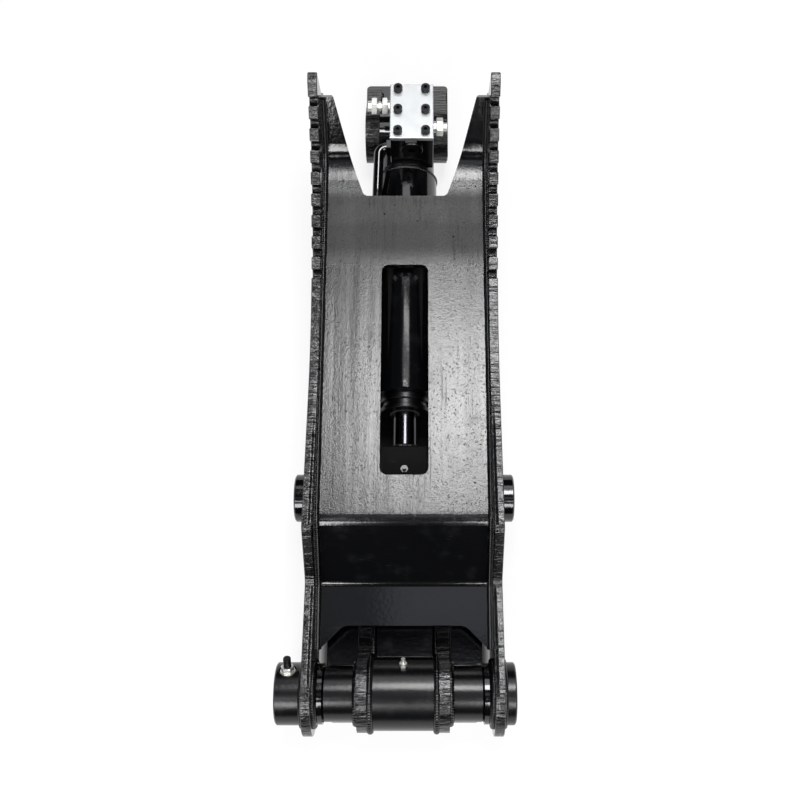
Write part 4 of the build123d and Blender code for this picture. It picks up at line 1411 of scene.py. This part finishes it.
    def fit_adapters(self, shop: Workshop) -> None:
        """Screw both hose adapters into the valve block.

        Args:
            shop: Makes the pieces.
        """
        flats, up, along = self.adapter_flats, tuple(self.up), tuple(self.along)
        seat, seat_radius = self.adapter_seat
        neck_radius, neck = self.left_neck
        collar_radius, collar = self.left_collar
        neck_start = seat + self.left_nut
        collar_start = neck_start + neck
        collar_end = collar_start + collar
        far_nut = collar_end + self.left_far_neck
        left = [
            Step(seat, seat_radius), *hexagon(seat, self.left_nut, flats),
            Step(neck_start, neck_radius), Step(collar_start, neck_radius),
            Step(collar_start, collar_radius), Step(collar_end, collar_radius),
            Step(collar_end, neck_radius), Step(far_nut, neck_radius),
            *hexagon(far_nut, self.left_nut, flats),
            *self.spigot(far_nut + self.left_nut, self.left_spigot),
        ]
        right = [
            Step(seat, seat_radius), *hexagon(seat, self.right_nut, flats),
            *self.spigot(seat + self.right_nut, self.right_spigot),
        ]
        self.adapter(shop, "hose_adapter_left", self.left_port, -1, left, up)
        self.adapter(shop, "hose_adapter_right", self.right_port, 1, right, along)

    def build(self, shop: Workshop) -> None:
        """Weld and dress the cylinder.

        Args:
            shop: Makes its pieces.
        """
        self.weld_seams(shop)
        self.fit_adapters(shop)


@dataclass
class CylinderBracket:
    """The two thick ears on a base plate that hold the cylinder's base pin."""

    pin: Flat = (0.904026, 0.060)
    ear_inside: float = 0.0445
    ear: float = 0.023
    base_top: float = 0.016
    ends: Flat = (-0.0130, 0.112)
    side_bead: float = 0.0004
    foot_bead: float = 0.0006

    def build(self, shop: Workshop) -> None:
        """Weld the bracket together.

        Args:
            shop: Makes the beads.
        """
        feet = []
        for side in (-1, 1):
            for face in (self.ear_inside - self.side_bead, self.ear_inside + self.ear + self.side_bead):
                foot = ((side * face, self.pin[0] + y, self.base_top + self.foot_bead) for y in self.ends)
                feet.append(Path(tuple(foot)))
        shop.beads(
            "cylinder_ear_foot_beads", Body.CYLINDER_BRACKET, feet,
            Radius=0.0028, Ripple_Pitch=0.0034, Ripple_Depth=0.08, Unevenness=0.4, Seed=7.0,
        )


# Studio


@dataclass(frozen=True)
class SoftBox:
    """A rectangular lamp that faces a point."""

    name: str
    place: Point
    target: Point
    size: Flat
    brightness: float
    colour: Colour = (1.0, 1.0, 1.0)

    def build(self) -> None:
        """Hang the lamp, its power set so that its face has the given brightness."""
        data = bpy.data.lights.new(self.name, "AREA")
        data.shape = "RECTANGLE"
        data.size, data.size_y = self.size
        data.energy = self.brightness * math.pi * self.size[0] * self.size[1]
        data.color = self.colour
        lamp = placed(self.name, data)
        lamp.location = self.place
        lamp.rotation_euler = (Vector(self.target) - Vector(self.place)).to_track_quat("-Z", "Y").to_euler()


@dataclass
class Studio:
    """The pale floor, the lamps, and the camera at the photograph's angle."""

    camera_place: Point = (0.026, 0.0118, 1.5672)
    camera_pitch: float = 15.894
    camera_shift: float = -0.0275
    lens: float = 45.0
    sensor: float = 36.0
    farthest: float = 100.0
    floor: float = 30.0
    floor_drop: float = 0.0005
    floor_glow: float = 0.82
    paper: Colour = (0.92, 0.92, 0.925)
    # Painted shadow: the paper's colour under the thumb, inside the shade spans below.
    painted_shadow_paper: Colour = (0.03, 0.03, 0.03)
    shade_side: Flat = (0.115, 0.15)
    shade_front: Flat = (-0.03, 0.03)
    shade_rear: Flat = (0.62, 0.76)
    surround: Colour = (0.80, 0.88, 1.0)
    surround_strength: float = 0.035
    lamps: tuple[SoftBox, ...] = (
        SoftBox("main_panel", (0.16, 1.07, 2.55), (0.16, 1.07, 0.0), (0.76, 0.86), 21.0),
        SoftBox("panel_edge", (-0.29, 1.07, 2.56), (-0.29, 1.07, 0.0), (0.16, 0.86), 1.6, COOL),
        SoftBox("rear_panel", (0.15, 1.69, 2.56), (0.15, 1.69, 0.0), (1.1, 0.22), 0.9, COOL),
        SoftBox("rear_strip", (0.20, 1.85, 2.55), (0.10, 0.3, 0.1), (0.8, 0.10), 9.0),
        SoftBox("far_panel", (0.05, 2.75, 2.60), (0.05, 1.9, 0.0), (1.3, 1.1), 2.4, (0.96, 0.98, 1.0)),
        SoftBox("front_strip_left", (-0.72, -0.56, 2.42), (0.0, 0.1, 0.10), (1.0, 0.22), 6.0),
        SoftBox("front_strip_right", (0.72, -0.56, 2.42), (0.0, 0.1, 0.10), (1.0, 0.22), 6.0),
        SoftBox("front_wall_left", (-0.82, -1.50, 1.93), (0.0, 0.2, 0.10), (1.1, 0.85), 12.0),
        SoftBox("front_wall_right", (0.82, -1.50, 1.93), (0.0, 0.2, 0.10), (1.1, 0.85), 12.0),
        SoftBox("front_panel", (0.27, -0.14, 2.60), (0.27, -0.14, 0.0), (0.80, 0.45), 0.8, BLUE),
        SoftBox("front_panel_left", (-0.46, -0.14, 2.60), (-0.46, -0.14, 0.0), (0.60, 0.45), 0.3, BLUE),
        SoftBox("side_fill_left", (-2.6, 0.5, 1.3), (0.0, 0.4, 0.10), (0.8, 2.0), 1.2, (0.86, 0.92, 1.0)),
        SoftBox("side_fill_right", (2.6, 0.5, 1.3), (0.0, 0.4, 0.10), (0.8, 2.0), 1.2),
    )

    def build_floor(self) -> None:
        """Lay the floor, white to the eye and in reflections, with its real shadow and a painted shadow
        under the thumb, where the paper is painted dark and its glow is switched off.
        """
        mesh = bpy.data.meshes.new("studio_floor")
        half, height = self.floor / 2, -self.floor_drop
        edge = [(-half, -half, height), (half, -half, height), (half, half, height), (-half, half, height)]
        mesh.from_pydata(edge, [], [(0, 1, 2, 3)])
        floor = placed("studio_floor", mesh)
        shader = Shader("studio_floor")
        path = shader.add("ShaderNodeLightPath")
        seen = shader.value(path, "Is Camera Ray").math("MAXIMUM", shader.value(path, "Is Glossy Ray"))
        seen = seen.math("MAXIMUM", shader.value(path, "Is Transmission Ray"))
        across, reach = shader.along("X").size(), shader.along("Y")
        # Painted shadow: under the thumb the paper is painted dark and the glow is switched off.
        painted_shadow_mask = (1 - across.step(*self.shade_side)) * reach.within(self.shade_front, self.shade_rear)
        shade = shader.mix(painted_shadow_mask, self.paper, self.painted_shadow_paper)
        paper = shader.add("ShaderNodeBsdfDiffuse", None, {"Color": shade})
        glow = shader.add("ShaderNodeEmission", None, {"Color": (1.0, 1.0, 1.0, 1.0), "Strength": 1.0})
        sockets = {0: seen * self.floor_glow * (1 - painted_shadow_mask), 1: paper.outputs[0], 2: glow.outputs[0]}
        mixed = shader.add("ShaderNodeMixShader", None, sockets)
        shader.add("ShaderNodeOutputMaterial", None, {"Surface": mixed.outputs[0]})
        mesh.materials.append(shader.material)

    def build_world(self) -> None:
        """Set a dim, slightly cool surround."""
        world = bpy.data.worlds.new("studio")
        bpy.context.scene.world = world
        world.use_nodes = True
        background = world.node_tree.nodes["Background"].inputs
        background["Color"].default_value = (*self.surround, 1.0)
        background["Strength"].default_value = self.surround_strength

    def build_camera(self) -> None:
        """Set the camera up where the photograph was taken from."""
        data = bpy.data.cameras.new("camera")
        data.lens = self.lens
        data.sensor_width = self.sensor
        data.sensor_fit = "HORIZONTAL"
        data.shift_x = self.camera_shift
        data.clip_end = self.farthest
        camera = placed("camera", data)
        camera.location = self.camera_place
        camera.rotation_euler = (math.radians(self.camera_pitch), 0.0, 0.0)
        bpy.context.scene.camera = camera

    def build(self) -> None:
        """Build the whole studio."""
        self.build_floor()
        self.build_world()
        for lamp in self.lamps:
            lamp.build()
        self.build_camera()
        bpy.context.scene.view_settings.view_transform = "Standard"


# The whole scene


def dress_frame(finishes: Finishes) -> None:
    """Give every CAD node its finish.

    Args:
        finishes: The object's finishes.
    """
    slots = {part["node"]: part["material_slot"] for part in frame["record"]["subparts"]}
    for node, piece in frame["nodes"].items():
        finish = finishes.of_node(node, slots[node])
        piece.data.materials.clear()
        piece.data.materials.append(finish)
        log.info("%s wears %s", node, finish.name)


def corners(box: Iterable[Iterable[float]]) -> list[list[float]]:
    """Turn a box into plain lists of numbers."""
    return [[float(number) for number in corner] for corner in box]


def main() -> None:
    """Build the thumb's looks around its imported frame."""
    logging.basicConfig(level=logging.INFO, format="%(name)s: %(message)s")
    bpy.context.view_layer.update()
    finishes = Finishes()
    dress_frame(finishes)
    shop = Workshop(finishes)
    for assembly in (ThumbWeldment(), PivotBracket(), Cylinder(), CylinderBracket()):
        assembly.build(shop)
        log.info("%s is built", type(assembly).__name__)
    Studio().build()
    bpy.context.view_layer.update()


if __name__ == "__main__":
    main()
